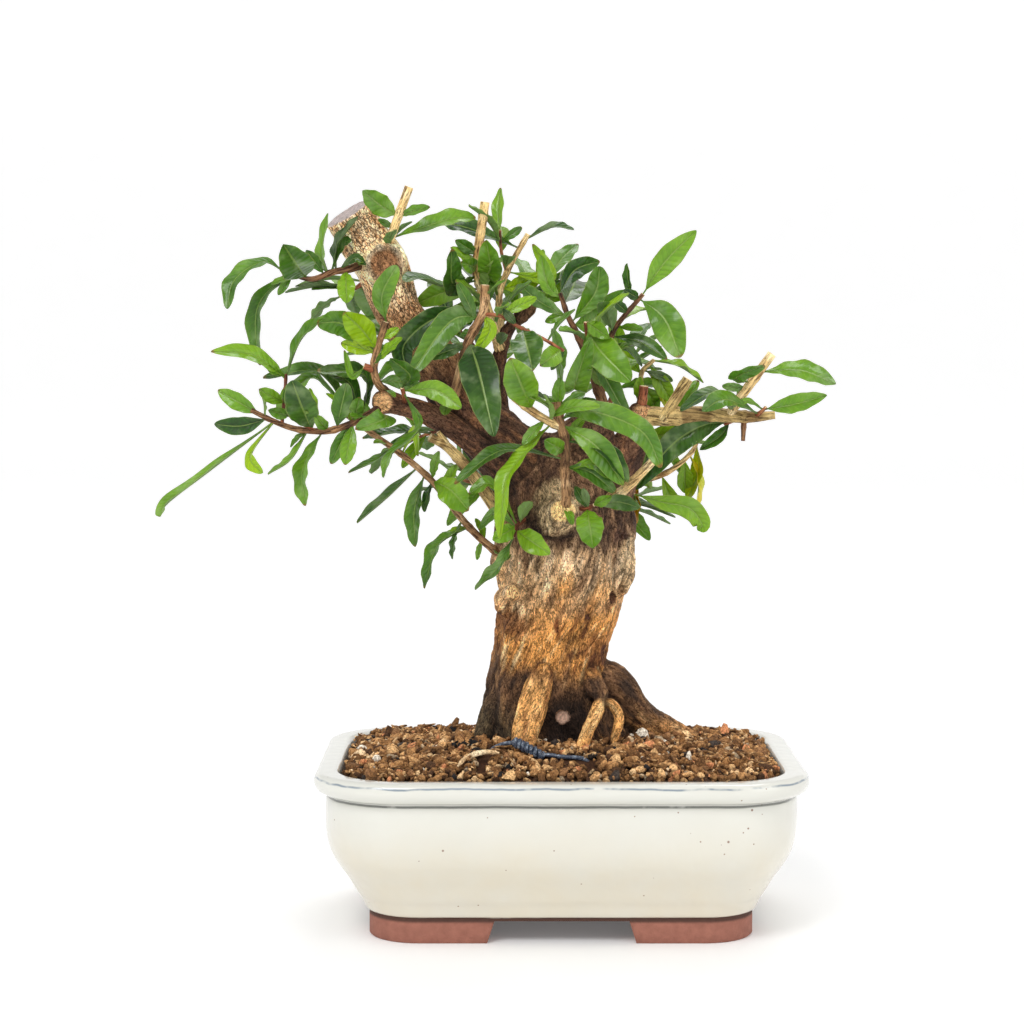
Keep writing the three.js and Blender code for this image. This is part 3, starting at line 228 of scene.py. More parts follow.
def grid_faces(rows, columns, wrap=False):
    """Four-sided faces over a grid of rows and columns, joined round each row if it wraps."""
    across = columns if wrap else columns - 1
    row, column = np.meshgrid(np.arange(rows - 1), np.arange(across), indexing="ij")
    beside = (column + 1) % columns
    corners = [row * columns + column, row * columns + beside,
               (row + 1) * columns + beside, (row + 1) * columns + column]
    return np.stack(corners, -1).reshape(-1, 4)


def fan_faces(ring, centre):
    """Triangles from a ring of corners to the point in its middle."""
    return np.stack([ring, np.roll(ring, -1), np.full(len(ring), centre)], -1)


class Shape:
    """Points, faces and named values per point that are gathered into one mesh."""

    def __init__(self):
        self.points, self.faces, self.values, self.count = [], [], {}, 0

    def add(self, points, faces, **values):
        """Appends an array of points, a list of face arrays and the values of the points."""
        for name, value in values.items():
            value = np.asarray(value, float)
            size = value.shape[-1] if value.ndim > 1 or value.size == 3 else 1
            filled = np.broadcast_to(value.reshape(-1, size), (len(points), size))
            self.values.setdefault(name, []).append(filled)
        self.points.append(points)
        self.faces.extend(part + self.count for part in faces)
        self.count += len(points)

    def wrap(self, rings, ends, **values):
        """A surface over rings of points, closed by a fan of triangles to a point at each end.

        A value is one for the whole surface, or one for each ring that is repeated round it.
        """
        rows, columns = rings.shape[:2]
        count = rows * columns
        for name, value in values.items():
            value = np.asarray(value, float)
            if value.ndim > 1 or value.size == rows:
                value = value.reshape(rows, -1)
                values[name] = np.vstack([np.repeat(value, columns, axis=0), value[:1], value[-1:]])
        faces = [grid_faces(rows, columns, wrap=True), fan_faces(np.arange(columns)[::-1], count),
                 fan_faces(np.arange(count - columns, count), count + 1)]
        self.add(np.vstack([rings.reshape(-1, 3), ends]), faces, **values)

    def tube(self, path, radii, sides, shape=None, **values):
        """A closed tube: rings square to the path, each radius times shape(angle, row)."""
        _, normal, side = frames_along(path)
        angle = np.linspace(0, 2 * math.pi, sides, endpoint=False)[None]
        radius = np.broadcast_to(radii, (len(path),))[:, None]
        if shape is not None:
            radius = radius * shape(angle, np.arange(len(path))[:, None])
        outward = np.cos(angle)[..., None] * normal[:, None] + np.sin(angle)[..., None] * side[:, None]
        self.wrap(path[:, None] + radius[..., None] * outward, path[[0, -1]], **values)

    def build(self, name, *materials, smooth=True):
        """A mesh object of the gathered points, in metres, with one attribute for each value."""
        points = (np.vstack(self.points) + POT_MIDDLE) / 1000
        flat = np.concatenate([part.ravel() for part in self.faces])
        sizes = np.concatenate([np.full(len(part), part.shape[1]) for part in self.faces])
        mesh = bpy.data.meshes.new(name)
        mesh.vertices.add(len(points))
        mesh.vertices.foreach_set("co", points.astype(np.float32).ravel())
        mesh.loops.add(len(flat))
        mesh.loops.foreach_set("vertex_index", flat.astype(np.int32))
        mesh.polygons.add(len(sizes))
        starts = np.concatenate([[0], np.cumsum(sizes)[:-1]])
        mesh.polygons.foreach_set("loop_start", starts.astype(np.int32))
        for key, parts in self.values.items():
            write_value(mesh, key, np.vstack(parts))
        mesh.polygons.foreach_set("use_smooth", np.full(len(sizes), smooth))
        for material in materials:
            mesh.materials.append(material)
        mesh.validate()
        mesh.update(calc_edges=True)
        obj = bpy.data.objects.new(name, mesh)
        bpy.context.scene.collection.objects.link(obj)
        return obj


def write_value(mesh, key, value):
    """Stores one number or one triple per point as an attribute that the materials read."""
    kind, field = ("FLOAT", "value") if value.ndim == 1 or value.shape[1] == 1 else ("FLOAT_VECTOR", "vector")
    mesh.attributes.new(key, kind, "POINT").data.foreach_set(field, value.astype(np.float32).ravel())


def read_points(mesh, field="co"):
    """One triple for each of a mesh's points, such as its place or its normal."""
    values = np.empty(len(mesh.vertices) * 3, np.float32)
    mesh.vertices.foreach_get(field, values)
    return values.reshape(-1, 3).astype(float)


def mesh_points(mesh):
    """The mesh's points in millimetres from the middle of the pot."""
    return read_points(mesh) * 1000 - POT_MIDDLE


def settle(obj, slot, *nodes):
    """Hangs a finished piece on the model's one body, in place of the CAD nodes it stands for."""
    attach(obj, "root")
    if nodes:
        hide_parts(*nodes)


def apply_modifiers(obj):
    """Turns the object's modifiers into its own mesh."""
    with bpy.context.temp_override(object=obj, active_object=obj, selected_objects=[obj]):
        for modifier in list(obj.modifiers):
            bpy.ops.object.modifier_apply(modifier=modifier.name)


# ---------------------------------------------------------------- pot

LONGER = 32  # how much longer the pot's half length is than its half depth
RIM_HALF = 120
CORNER_RADIUS = 41
CORNER_FALL = 0.62  # how much the corner's radius falls for each millimetre that the wall moves in
FOOT_HEIGHT = 11.0
FRONT_GAP, SIDE_GAP = 36.0, 25.5  # half widths of the gaps between the feet, at the ground
GAP_SLOPE = 3.5  # how far a foot's end slopes into the gap
DRAIN_OFFSET, DRAIN_RADIUS = 46.0, 7.0

FOOT_SIDE = [(93.2, 0), (94, 0.8), (94, 6)]  # the foot's outer side as half length and height

# The wall as half length and height, from the foot's top over the rim to the floor.
POT_WALL = [
    (94, 11), (94.2, 12.6), (95.4, 13.4), (96.5, 15.5), (98.2, 19), (100.2, 22.2), (103.9, 29),
    (108, 35.4), (111.4, 41.4), (113.5, 48), (114.4, 55), (114.6, 62), (114.4, 68.6),
    (113.9, 70.4), (114.6, 71.5), (116.8, 72.4), (118.9, 73.9), (119.9, 76.2), (120, 78.2), (119.3, 80.4),
    (117.8, 81.6), (115.5, 82), (112, 82), (109.8, 81.8), (108.4, 80.8), (107.7, 79), (107.3, 72),
    (106.9, 60), (105.6, 48), (102.5, 39), (97.5, 31), (91, 24.4), (84, 20), (76, 19),
]
WALL_ROWS = 145
FLOOR_HEIGHT = 19.0
FLOOR_RINGS = [66, 52, 40, 32.004]  # half lengths, the last one just longer than the pot is than deep
RECESS = 79.0  # half length of the hollow inside the feet

# Places on the wall that the glaze is measured from, as half length and height.
GLAZE_MARKS = {
    "glaze_end": (94.6, 13), "groove": (113.9, 70.6), "rim_line": (119.5, 80.0), "inner_line": (108.1, 80.2),
}


def plan_ring(half, arc_steps=14):
    """A rounded rectangle in plan, anticlockwise from the middle of its right side.

    The half depth is the half length less a fixed amount, and the corner radius falls as the wall
    moves in. Each side and corner is that of the last one turned by a quarter.
    """
    deep = half - LONGER
    radius = min(max(CORNER_RADIUS - CORNER_FALL * (RIM_HALF - half), 3), 0.8 * deep)
    quarter = np.linspace(0, math.pi / 2, arc_steps + 1)[1:-1]
    parts = []
    for turn in range(4):
        reach, width, gap = (deep, half, FRONT_GAP) if turn % 2 else (half, deep, SIDE_GAP)
        places = side_places(width - radius, gap)
        side = np.stack([np.full(len(places), reach), places], -1)
        arc = radius * np.stack([np.cos(quarter), np.sin(quarter)], -1) + (reach - radius, width - radius)
        parts.append(np.vstack([side, arc]) @ turn_plan(turn * math.pi / 2))
    return np.vstack(parts)


def side_places(reach, gap):
    """Places along a straight side: close on both sides of each foot's sloping end, and drawn
    together where the side is shorter than that."""
    shrink = min(1, 0.9 * reach / gap)
    inner = (gap - GAP_SLOPE) * shrink
    end = np.linspace(gap * shrink, reach, 7)
    return np.concatenate([-end[::-1], np.linspace(-inner, inner, 11), end])


def foot_ground(ring):
    """Height of the wall's underside at each place of a ring: 0 on a foot, the foot's over a gap."""
    x, y = np.abs(ring[:, 0]), np.abs(ring[:, 1])
    front = np.clip((FRONT_GAP - x) / GAP_SLOPE, 0, 1)
    side = np.clip((SIDE_GAP - y) / GAP_SLOPE, 0, 1)
    on_front = y / np.maximum(y.max(), 1) > x / x.max()
    return FOOT_HEIGHT * np.where(on_front, front, side)


def pot_shape(ripple):
    """The pot as rings carried along its wall, over the rim and down to the floor and the hollow.

    A ring below the foot's height is lifted to the underside of the wall over each gap, and the
    glazed faces lean in and out by a slow noise times the ripple. Also gives how far along the
    wall each of the glaze's marks is.
    """
    profile = smooth_path(np.array([(half, 0, height) for half, height in POT_WALL]), WALL_ROWS)
    outside = FOOT_SIDE + [(half, height) for half, _, height in profile]
    floor = [(half, FLOOR_HEIGHT) for half in FLOOR_RINGS]
    under = [(half, FOOT_HEIGHT) for half in (*FLOOR_RINGS[::-1], RECESS - 0.6)]
    under += [(RECESS, 10.4), (RECESS, 5.0), (RECESS, 0.8), (RECESS + 0.8, 0.0), (86.0, 0.0)]
    walls = np.array(outside + floor + under)
    path = travelled(walls)
    plans = np.array([plan_ring(half) for half in walls[:, 0]])
    grounds = np.array([foot_ground(plan) for plan in plans])
    height = np.broadcast_to(walls[:, 1:], grounds.shape)
    height = np.where(height < FOOT_HEIGHT, np.maximum(height, grounds), height)
    points = np.concatenate([plans, height[..., None]], -1)
    rows, columns = height.shape
    glazed = blend(height, 14, 20) * (np.arange(rows)[:, None] < len(outside))
    lean = cloud_noise(points, (26, 26, 19), 3, 2) * ripple * glazed
    points[..., :2] += unit(points[..., :2]) * lean[..., None]
    faces = grid_faces(rows, columns, wrap=True).reshape(rows - 1, columns, 4)
    faces = np.delete(faces, len(outside) + len(floor) - 1, axis=0).reshape(-1, 4)
    corner = np.arange(columns)
    beside, last = (corner + 1) % columns, (rows - 1) * columns
    lid = np.stack([last + corner, last + beside, beside, corner], -1)
    shape = Shape()
    shape.add(points.reshape(-1, 3), [faces, lid], path=np.repeat(path, columns))
    marks = {name: float(path[np.argmin(np.linalg.norm(walls - np.array(place), axis=1))])
             for name, place in GLAZE_MARKS.items()}
    return shape, marks


def drain_cutter():
    """Two upright round bars where the floor is drilled."""
    shape = Shape()
    for x in (-DRAIN_OFFSET, DRAIN_OFFSET):
        shape.tube(np.array([(x, 0, 4), (x, 0, 15), (x, 0, 26)], float), DRAIN_RADIUS, 32)
    return shape.build("drain_cutter")


def add_pot(settings):
    """Builds the pot's surface, closes doubled points over the gaps and drills two drain holes."""
    shape, marks = pot_shape(settings.glaze_ripple)
    pot = shape.build("glazed_pot", glaze_material(settings, marks))
    mesh = bmesh.new()
    mesh.from_mesh(pot.data)
    bmesh.ops.remove_doubles(mesh, verts=mesh.verts, dist=2e-5)
    bmesh.ops.dissolve_degenerate(mesh, edges=mesh.edges, dist=1e-6)
    bmesh.ops.recalc_face_normals(mesh, faces=mesh.faces)
    mesh.to_mesh(pot.data)
    mesh.free()
    cutter = drain_cutter()
    drill = pot.modifiers.new("drain holes", "BOOLEAN")
    drill.object = cutter
    drill.operation = "DIFFERENCE"
    drill.solver = "EXACT"
    apply_modifiers(pot)
    bpy.data.objects.remove(cutter)
    settle(pot, "pot", "pot")


# ---------------------------------------------------------------- soil, wire and screens

# The grains' colours, each with how many of a hundred or so grains have it.
GRAIN_TONES = [
    ((142, 104, 66), 20), ((112, 80, 50), 16), ((170, 128, 84), 14), ((80, 56, 38), 12),
    ((196, 154, 106), 8), ((144, 106, 72), 9), ((218, 178, 128), 7), ((236, 200, 152), 5),
    ((204, 140, 98), 3), ((226, 200, 164), 2.4), ((168, 150, 126), 2.4), ((226, 220, 208), 1.1),
    ((66, 58, 54), 1.6), ((42, 40, 42), 1.2),
]
CHIP_SIZE = 2.5

# Layers of grains: spacing, jitter, least and greatest size, lift over the soil and share kept.
GRAIN_LAYERS = [
    (3.4, 1.3, 2.6, 4.4, -0.9, 0.78), (4.1, 1.9, 3.0, 5.6, 0.2, 0.9), (9.0, 4.3, 4.4, 7.2, 0.9, 0.8),
    (2.9, 1.4, 1.3, CHIP_SIZE, 1.9, 0.4),
]

# Where the drawn front shows charcoal: across, down, spread in millimetres and number of pieces.
CHARCOAL = [(466, 745, 5, 16), (478, 752, 5, 6), (500, 776, 2, 2), (360, 768, 2, 2), (512, 768, 2, 1)]

MOUTH = (106.8, 74.8, 33)  # half length, half depth and corner radius inside the rim
BED_WALL = [(83.4, 19.6), (98, 33.4), (105.6, 52), (106.3, 78.2)]  # half length and height
BED_PEAK = 89.0

DEAD_ROOT = [(458, 766), (466, 758), (476, 754), (488, 752), (499, 753)]
DEAD_ROOT_LIFT = 3.6
FIBRES = [
    [(507, 756), (513, 762), (517, 768)], [(545, 770), (553, 768), (558, 773)],
    [(636, 742), (645, 738), (652, 742)], [(402, 731), (396, 727), (391, 725)],
]
LOOSE_FIBRES = 90

WIRE_RADIUS = 1.1
WIRE_TURNS = 4
WIRE_LEGS = [
    [(480, 770, -25), (483, 762, -27), (486, 756, -29), (496, 747, -33), (509, 743, -36), (519, 744, -38)],
    [(538, 754, -41), (548, 755, -42), (566, 757, -43), (584, 759, -43), (592, 768, -43)],
]
WIRE_TWIST = [(513, 741, -37), (527, 748, -40), (544, 757, -42)]


def ball_points(steps):
    """Directions and triangles of an icosahedron whose edges are halved once less than the steps."""
    mesh = bmesh.new()
    bmesh.ops.create_icosphere(mesh, subdivisions=steps, radius=1)
    points = np.array([vertex.co for vertex in mesh.verts])
    faces = np.array([[vertex.index for vertex in face.verts] for face in mesh.faces])
    mesh.free()
    return points, faces


def grain_points(centres, sizes, random, steps):
    """Chipped grains: along each direction the nearest of nine random planes, softened.

    A grain's radius along a direction is the smallest of height over cosine for its planes, at
    most 1.3, mixed with a round ball, then stretched along three turned axes by its own sizes.
    Every fourth grain is a splinter, longer and thinner than the others.
    """
    directions, faces = ball_points(steps)
    count = len(centres)
    planes = unit(random.normal(size=(count, 9, 3)))
    heights = random.uniform(0.52, 1.0, (count, 9, 1))
    cosine = np.maximum(np.einsum("gpk,vk->gpv", planes, directions), 0.05)
    radius = np.minimum((heights / cosine).min(axis=1), 1.3)
    radius = 0.92 * radius + 0.08 * 0.9
    stretch = random.uniform(0.62, 1.38, (count, 3)) * sizes[:, None] / 2
    stretch[::4] *= np.array([1.45, 0.8, 0.66])
    first = unit(random.normal(size=(count, 3)))
    second = unit(np.cross(first, unit(random.normal(size=(count, 3)))))
    axes = np.stack([first, second, np.cross(first, second)], 1)
    local = directions[None] * radius[..., None] * stretch[:, None]
    points = centres[:, None] + np.einsum("gvk,gkj->gvj", local, axes)
    index = (np.arange(count)[:, None, None] * len(directions) + faces[None]).reshape(-1, 3)
    return points.reshape(-1, 3), index, len(directions)


def inside_pot(points, margin):
    """Whether each point is inside the pot's mouth, a rounded rectangle, by the margin."""
    half, deep, radius = MOUTH
    x = np.maximum(np.abs(points[:, 0]) - (half - radius), 0)
    y = np.maximum(np.abs(points[:, 1]) - (deep - radius), 0)
    return np.hypot(x, y) < radius - margin


def inside_wood(points, margin, limbs):
    """Whether each point lies in the trunk's column or in one of the limbs, deeper than the margin."""
    inside = column_gap(points)[0] < -margin
    for line in limbs:
        path, radii = limb_line(line)
        gap = np.linalg.norm(points[:, None] - path[None], axis=-1) - radii[None]
        inside |= gap.min(axis=1) < -margin
    return inside


def scattered(spacing, jitter, random):
    """A grid of places over the pot's mouth, each moved by up to the jitter."""
    x, y = np.meshgrid(np.arange(-108, 108, spacing), np.arange(-MOUTH_DEEP, MOUTH_DEEP, spacing * 0.9))
    x = x + spacing / 2 * (np.arange(x.shape[0])[:, None] % 2)
    places = np.stack([x.ravel(), y.ravel()], -1)
    return places + random.uniform(-jitter, jitter, places.shape)


def soil_grains(settings):
    """Places, sizes and colours of all grains: a close bed, larger ones lying on it, chips and
    charcoal. Also gives the random draws, for the grains' shapes."""
    random = np.random.default_rng(settings.seed)
    layers = []
    for spacing, jitter, low, high, lift, kept in GRAIN_LAYERS:
        places = scattered(spacing, jitter, random)
        places = places[random.uniform(size=len(places)) < kept]
        size = low + (high - low) * random.uniform(size=len(places)) ** 1.6
        height = soil_height(places[:, 0], places[:, 1]) + lift + random.uniform(-0.7, 0.7, len(places))
        layers.append(np.column_stack([places, height, size * settings.grain_size]))
    palette = np.array([colour(*tone) for tone, _ in GRAIN_TONES])
    shares = np.array([share for _, share in GRAIN_TONES])
    tones = palette[random.choice(len(palette), sum(map(len, layers)), p=shares / shares.sum())]
    black = []
    for across, down, spread, count in CHARCOAL:
        offset = random.normal(size=(count, 3)) * spread * np.array([0.5, 0.4, 0.02])
        size = random.uniform(2.6, 4.6, count)
        black.append(np.column_stack([on_soil(across, down, 1.0) + offset, size]))
    grains = np.vstack(layers + black)
    tones = np.vstack([tones, np.tile(colour(30, 30, 32), (len(grains) - len(tones), 1))])
    keep = inside_pot(grains, 0.2 + grains[:, 3] * 0.38)
    keep &= ~inside_wood(grains[:, :3], 1.0, ROOTS) & ~hides(grains)
    return grains[keep], tones[keep], random


def hides(grains):
    """Whether each grain would cover the wire or the dead root as they are drawn from the front."""
    lines = [smooth_path(sheet(places), 40) for places in (*WIRE_LEGS, WIRE_TWIST)]
    lines.append(smooth_path([on_soil(*place, DEAD_ROOT_LIFT) for place in DEAD_ROOT], 40))
    hidden = np.zeros(len(grains), bool)
    at_grain = np.stack(drawn(grains[:, :3]), -1)
    for line in lines:
        at_line = np.stack(drawn(line), -1)
        gap = np.linalg.norm(at_grain[:, None] - at_line[None], axis=-1)
        nearest = gap.argmin(axis=1)
        gap = gap[np.arange(len(grains)), nearest] - grains[:, 3]
        hidden |= (gap < 3) & (grains[:, 1] < line[nearest, 1] + 1.5)
    return hidden


def soil_bed():
    """The fill under the grains, its brown darkened as painted shade seen between them: rings from the wall
    to the middle, each a little lumpy.
    """
    rings = []
    for half, height in BED_WALL:
        rim = plan_ring(half)
        rings.append(np.column_stack([rim, np.full(len(rim), height)]))
    for share in np.linspace(0.97, 0.02, 40):
        ring = rim * share
        height = soil_height(ring[:, 0], ring[:, 1]) - 2.0
        height = height + 0.8 * cloud_noise(np.column_stack([ring, height]), (3.5, 3.5, 9), 8, 2)
        rings.append(np.column_stack([ring, height]))
    shape = Shape()
    # Its dark brown stands for painted shade in the gaps between the grains.
    shape.wrap(np.array(rings), [(0, 0, BED_WALL[0][1]), (0, 0, BED_PEAK)], tone=colour(74, 48, 32))
    return shape


def add_soil(settings):
    """Makes the bed and two pieces of grains, left and right of the middle.

    A grain's colour is darker the lower it lies, as painted shade down among the grains.
    """
    settle(soil_bed().build("soil_bed", grain_material()), "soil", "soil")
    grains, tones, random = soil_grains(settings)
    left, chips = grains[:, 0] < 0, grains[:, 3] < CHIP_SIZE
    for name, side in (("soil_grains_left", left), ("soil_grains_right", ~left)):
        shape = Shape()
        for chosen, steps in ((side & ~chips, 2), (side & chips, 1)):
            points, faces, corners = grain_points(grains[chosen, :3], grains[chosen, 3], random, steps)
            depth = points[:, 2] - soil_height(points[:, 0], points[:, 1])
            # Painted shade: the deeper a grain's points lie among the others, the darker they are.
            shade = 0.36 + 0.74 * blend(depth, -1.2, 2.6)
            shape.add(points, [faces], tone=np.repeat(tones[chosen], corners, axis=0) * shade[:, None])
        settle(shape.build(name, grain_material(), smooth=False), "soil", "soil")


def loose_fibres():
    """Short arcs at any turn about the pot's mouth, less those that would lie in the wall or wood."""
    random = np.random.default_rng(41)
    paths = []
    for x, y in zip(random.uniform(-98, 98, LOOSE_FIBRES), random.uniform(-66, 66, LOOSE_FIBRES)):
        turn, bend, reach = random.uniform(0, 2 * math.pi), random.uniform(-0.9, 0.9), random.uniform(4, 11)
        ends = np.array([[-reach / 2, 0], [0, bend * reach / 3], [reach / 2, 0]]) @ turn_plan(turn) + (x, y)
        path = np.column_stack([ends, soil_height(*ends.T) + 3.3 + random.uniform(-0.7, 0.9, 3)])
        if inside_pot(path, 3).all() and not inside_wood(path, -2, ROOTS).any():
            paths.append(path)
    return paths


def add_soil_roots():
    """A pale dead root and thin fibres lying on the grains, each a tube along its path that is
    thickest past its middle. The placed fibres are followed by the loose ones."""
    shape = Shape()
    placed = [[on_soil(*place, DEAD_ROOT_LIFT) for place in places] for places in (DEAD_ROOT, *FIBRES)]
    for number, places in enumerate(placed + loose_fibres()):
        count = 28 if number < len(placed) else 9
        share = np.linspace(0, 1, count)
        thick, sides, first, second = 0.32 + 0.22 * (number % 3), 6, (196, 158, 112), (112, 78, 50)
        if number == 0:
            thick, sides, first, second = 1.35, 10, (248, 230, 196), (214, 182, 140)
        ends = np.where((share < 0.04) | (share > 0.96), 0.5, 1)
        radii = thick * (1.05 - 0.6 * np.abs(share - 0.55)) * ends
        tone = mix(colour(*first), colour(*second), 0.5 + 0.5 * np.sin(9 * share + number))
        shape.tube(smooth_path(places, count), radii, sides,
                   lambda angle, row: 1 + 0.12 * np.sin(3 * angle + 0.4 * row), tone=tone)
    settle(shape.build("dead_root_and_fibres", grain_material()), "trunk")


def add_tie_wire():
    """Two coated wire legs, and between them two strands wound round one another.

    Each strand is a helix about the twist's own line, about one and a half wire radii from it,
    and runs into the line at both ends.
    """
    shape = Shape()
    for places in WIRE_LEGS:
        shape.tube(smooth_path(sheet(places), 60), WIRE_RADIUS * 0.98, 16)
    line = smooth_path(sheet(WIRE_TWIST), 150)
    _, normal, side = frames_along(line)
    share = np.linspace(0, 1, 150)[:, None]
    for start in (0.0, math.pi):
        angle = start + share * WIRE_TURNS * 2 * math.pi
        swell = WIRE_RADIUS * (1.55 + 0.2 * np.sin(3 * angle + start))
        swell = swell * blend(share, 0, 0.1) * blend(share, 1, 0.9)
        strand = line + swell * (np.cos(angle) * normal + np.sin(angle) * side)
        shape.tube(strand, WIRE_RADIUS * 0.95, 14)
    settle(shape.build("twisted_tie_wire", wire_material()), "tie_wire", "tie_wire")


def add_drain_screens():
    """Gives the two screens on the pot's floor their moulded plastic finish."""
    material = screen_material()
    for name in ("drain_screen_left", "drain_screen_right"):
        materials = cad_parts[name].data.materials
        materials.clear()
        materials.append(material)


# ---------------------------------------------------------------- trunk

# Cross sections of the trunk: down, left edge, right edge, half depth and depth behind.
TRUNK_SECTIONS = np.array([
    [768, 466, 656, 32, 9], [744, 470, 646, 32, 9], [728, 476, 634, 31, 10], [712, 480, 623, 29, 10],
    [690, 485, 613, 27, 11], [662, 489, 609, 26, 12], [640, 494, 611, 25, 12], [616, 498, 619, 26, 12],
    [592, 500, 625, 28, 12], [568, 497, 633, 29, 12], [542, 497, 633, 29, 12], [514, 498, 633, 28, 12],
    [490, 495, 630, 27, 12], [468, 492, 626, 24, 12], [448, 498, 618, 19, 12], [434, 516, 604, 11, 12],
], float)

# Limbs as across, down, depth behind and radius at each place.
ROOTS = [
    [(548, 660, -4, 6), (541, 680, -13, 6.8), (534, 704, -20, 7), (526, 732, -27, 6.6), (521, 756, -33, 5)],
    [(506, 690, 4, 9), (495, 716, 0, 8), (487, 742, -3, 7), (479, 764, -6, 4)],
    [(588, 676, -4, 6), (601, 698, -16, 3.8), (595, 716, -23, 3.3), (586, 735, -28, 3.1),
     (577, 762, -32, 2.6)],
    [(600, 700, -16, 3.0), (613, 706, -20, 2.8), (619, 720, -21, 2.3), (613, 742, -24, 2),
     (610, 764, -26, 1.6)],
    [(596, 676, 8, 11), (616, 688, 8, 11), (634, 708, 8, 9), (655, 724, 12, 7.4), (678, 732, 18, 5),
     (700, 742, 25, 3)],
    [(520, 712, 30, 10), (500, 728, 42, 7), (478, 748, 52, 4)],
    [(590, 712, 30, 10), (612, 728, 42, 7), (634, 750, 50, 4)],
]
CUT_ROOT = [(564, 712, 0, 3.8), (563, 718, -25, 3.6)]
STUMP_ARM = [
    (560, 498, 10, 19), (520, 462, 8, 18), (485, 430, 6, 15.5), (455, 398, 4, 12.8), (436, 362, 2, 11.8),
    (402, 318, 0, 11.4), (389, 288, -1, 12.4), (379, 262, -1, 13), (363, 238, -2.5, 12.5),
    (347, 213, -6, 12.1),
]
RIGHT_ARM = [(585, 500, 10, 20), (606, 478, 10, 16), (623, 455, 9, 11), (636, 432, 8, 8), (641, 411, 8, 5.5)]
THICK_BRANCHES = [
    [(505, 466, -2, 9), (483, 448, -6, 6.8), (467, 437, -9, 6), (442, 420, -12, 5.6), (411, 408, -14, 5.2),
     (383, 401, -15, 5.3)],
    [(512, 452, 12, 7), (500, 405, 14, 4.8), (498, 372, 15, 4.3), (505, 335, 15, 4.3), (525, 310, 15, 4),
     (533, 292, 15, 3.4)],
]
LIMBS = [*ROOTS, CUT_ROOT, STUMP_ARM, RIGHT_ARM, *THICK_BRANCHES]

# What the limbs are numbered, in the order of LIMBS. The trunk's column is limb 0.
COLUMN, FRONT_ROOT, THIN_ROOT, FORKED_ROOT, SIDE_ROOT = 0, 1, 3, 4, 5
BACK_ROOT, LAST_ROOT, CUT, STUMP = 6, 7, 8, 9
RUN_APART = 400  # how far apart the limbs' lengths start, so that no two share their bark

THIN_BRANCHES = [
    ("olive", [(630, 428, 8, 7), (648, 417, 6, 5), (670, 417, 4, 4.6), (700, 414, 2, 3.7), (730, 416, 0, 3.3),
               (752, 417, -2, 2.7), (775, 415, -3, 1.9)]),
    ("olive", [(662, 420, 3, 3.4), (670, 408, 2, 2.8), (688, 379, 0, 2.6)]),
    ("brown", [(596, 452, 8, 7), (604, 428, 7, 3.6), (605, 412, 7, 2.9), (597, 385, 6, 2.7),
               (589, 358, 5, 2.4)]),
    ("red", [(641, 420, 6, 3.4), (642, 404, 5, 2.4), (644, 386, 4, 2.3)]),
    ("brown", [(744, 417, -1, 1.5), (743, 441, -1, 1)]),
    ("stick", [(610, 500, -4, 4), (626, 488, -10, 2.4), (653, 461, -16, 2)]),
    ("olive", [(508, 524, 2, 5), (499, 512, -4, 3.5), (475, 478, -10, 3), (450, 449, -14, 2.4),
               (430, 437, -18, 1.9)]),
    ("olive", [(453, 453, -14, 1.9), (438, 432, -16, 1.3)]),
]

# Burls as across, down, depth behind, width, depth and height.
BURLS = [
    (556, 519, -15, 24, 23, 24), (562, 511, -25, 17, 9, 15), (512, 593, -9, 10, 10, 9),
    (506, 602, -1, 12, 12, 16), (621, 566, 4, 14, 16, 30), (501, 560, 6, 10, 14, 18),
    (384, 264, -10, 22, 12, 22), (640, 414, 6, 13, 12, 12), (384, 402, -15, 12, 12, 12),
    (585, 440, 2, 30, 24, 26),
]

# Oval marks on the drawn front: across, down, half width and half height.
KNOTHOLE = (385, 263, 21, 22)
CUT_FACE = (563, 718, 7.5, 7.5)
CONE, CONE_SHADOW = (557, 508, 27, 32), (557, 512, 30, 27)
WORN_LEFT, WORN_RIGHT = (512, 622, 24, 20), (597, 652, 16, 26)
BARE_PATCH, CAVITY_SHADE = (630, 566, 12, 34), (569, 722, 26, 24)

# Knots: such a mark, the rise of the rim and of the middle in millimetres, the colour in the
# middle and how clearly it is ringed.
KNOTS = [
    ((385, 264, 17, 17), 2.0, -2.2, (138, 98, 66), 1), ((562, 511, 15, 13), 0.8, 0.6, (232, 196, 134), 0.7),
    ((611, 597, 4, 8), 1.3, -0.8, (84, 54, 36), 0.2), ((588, 618, 3.5, 4), 0.4, -0.8, (84, 52, 38), 0.2),
    ((557, 626, 3, 9), 0.3, -0.7, (112, 66, 36), 0.2), ((563, 718, 7.5, 7), 0.5, -0.4, (206, 168, 146), 1),
    ((513, 593, 8, 7), 0.4, 0.9, (224, 182, 128), 0.6), ((624, 536, 8, 4), 0.8, -1.0, (70, 46, 34), 0.2),
    ((603, 655, 3, 12), 0.3, -0.7, (84, 48, 28), 0), ((642, 414, 11, 11), 0.7, 0.6, (214, 166, 120), 0),
    ((383, 402, 10, 10), 0.7, 0.5, (212, 166, 118), 0),
]

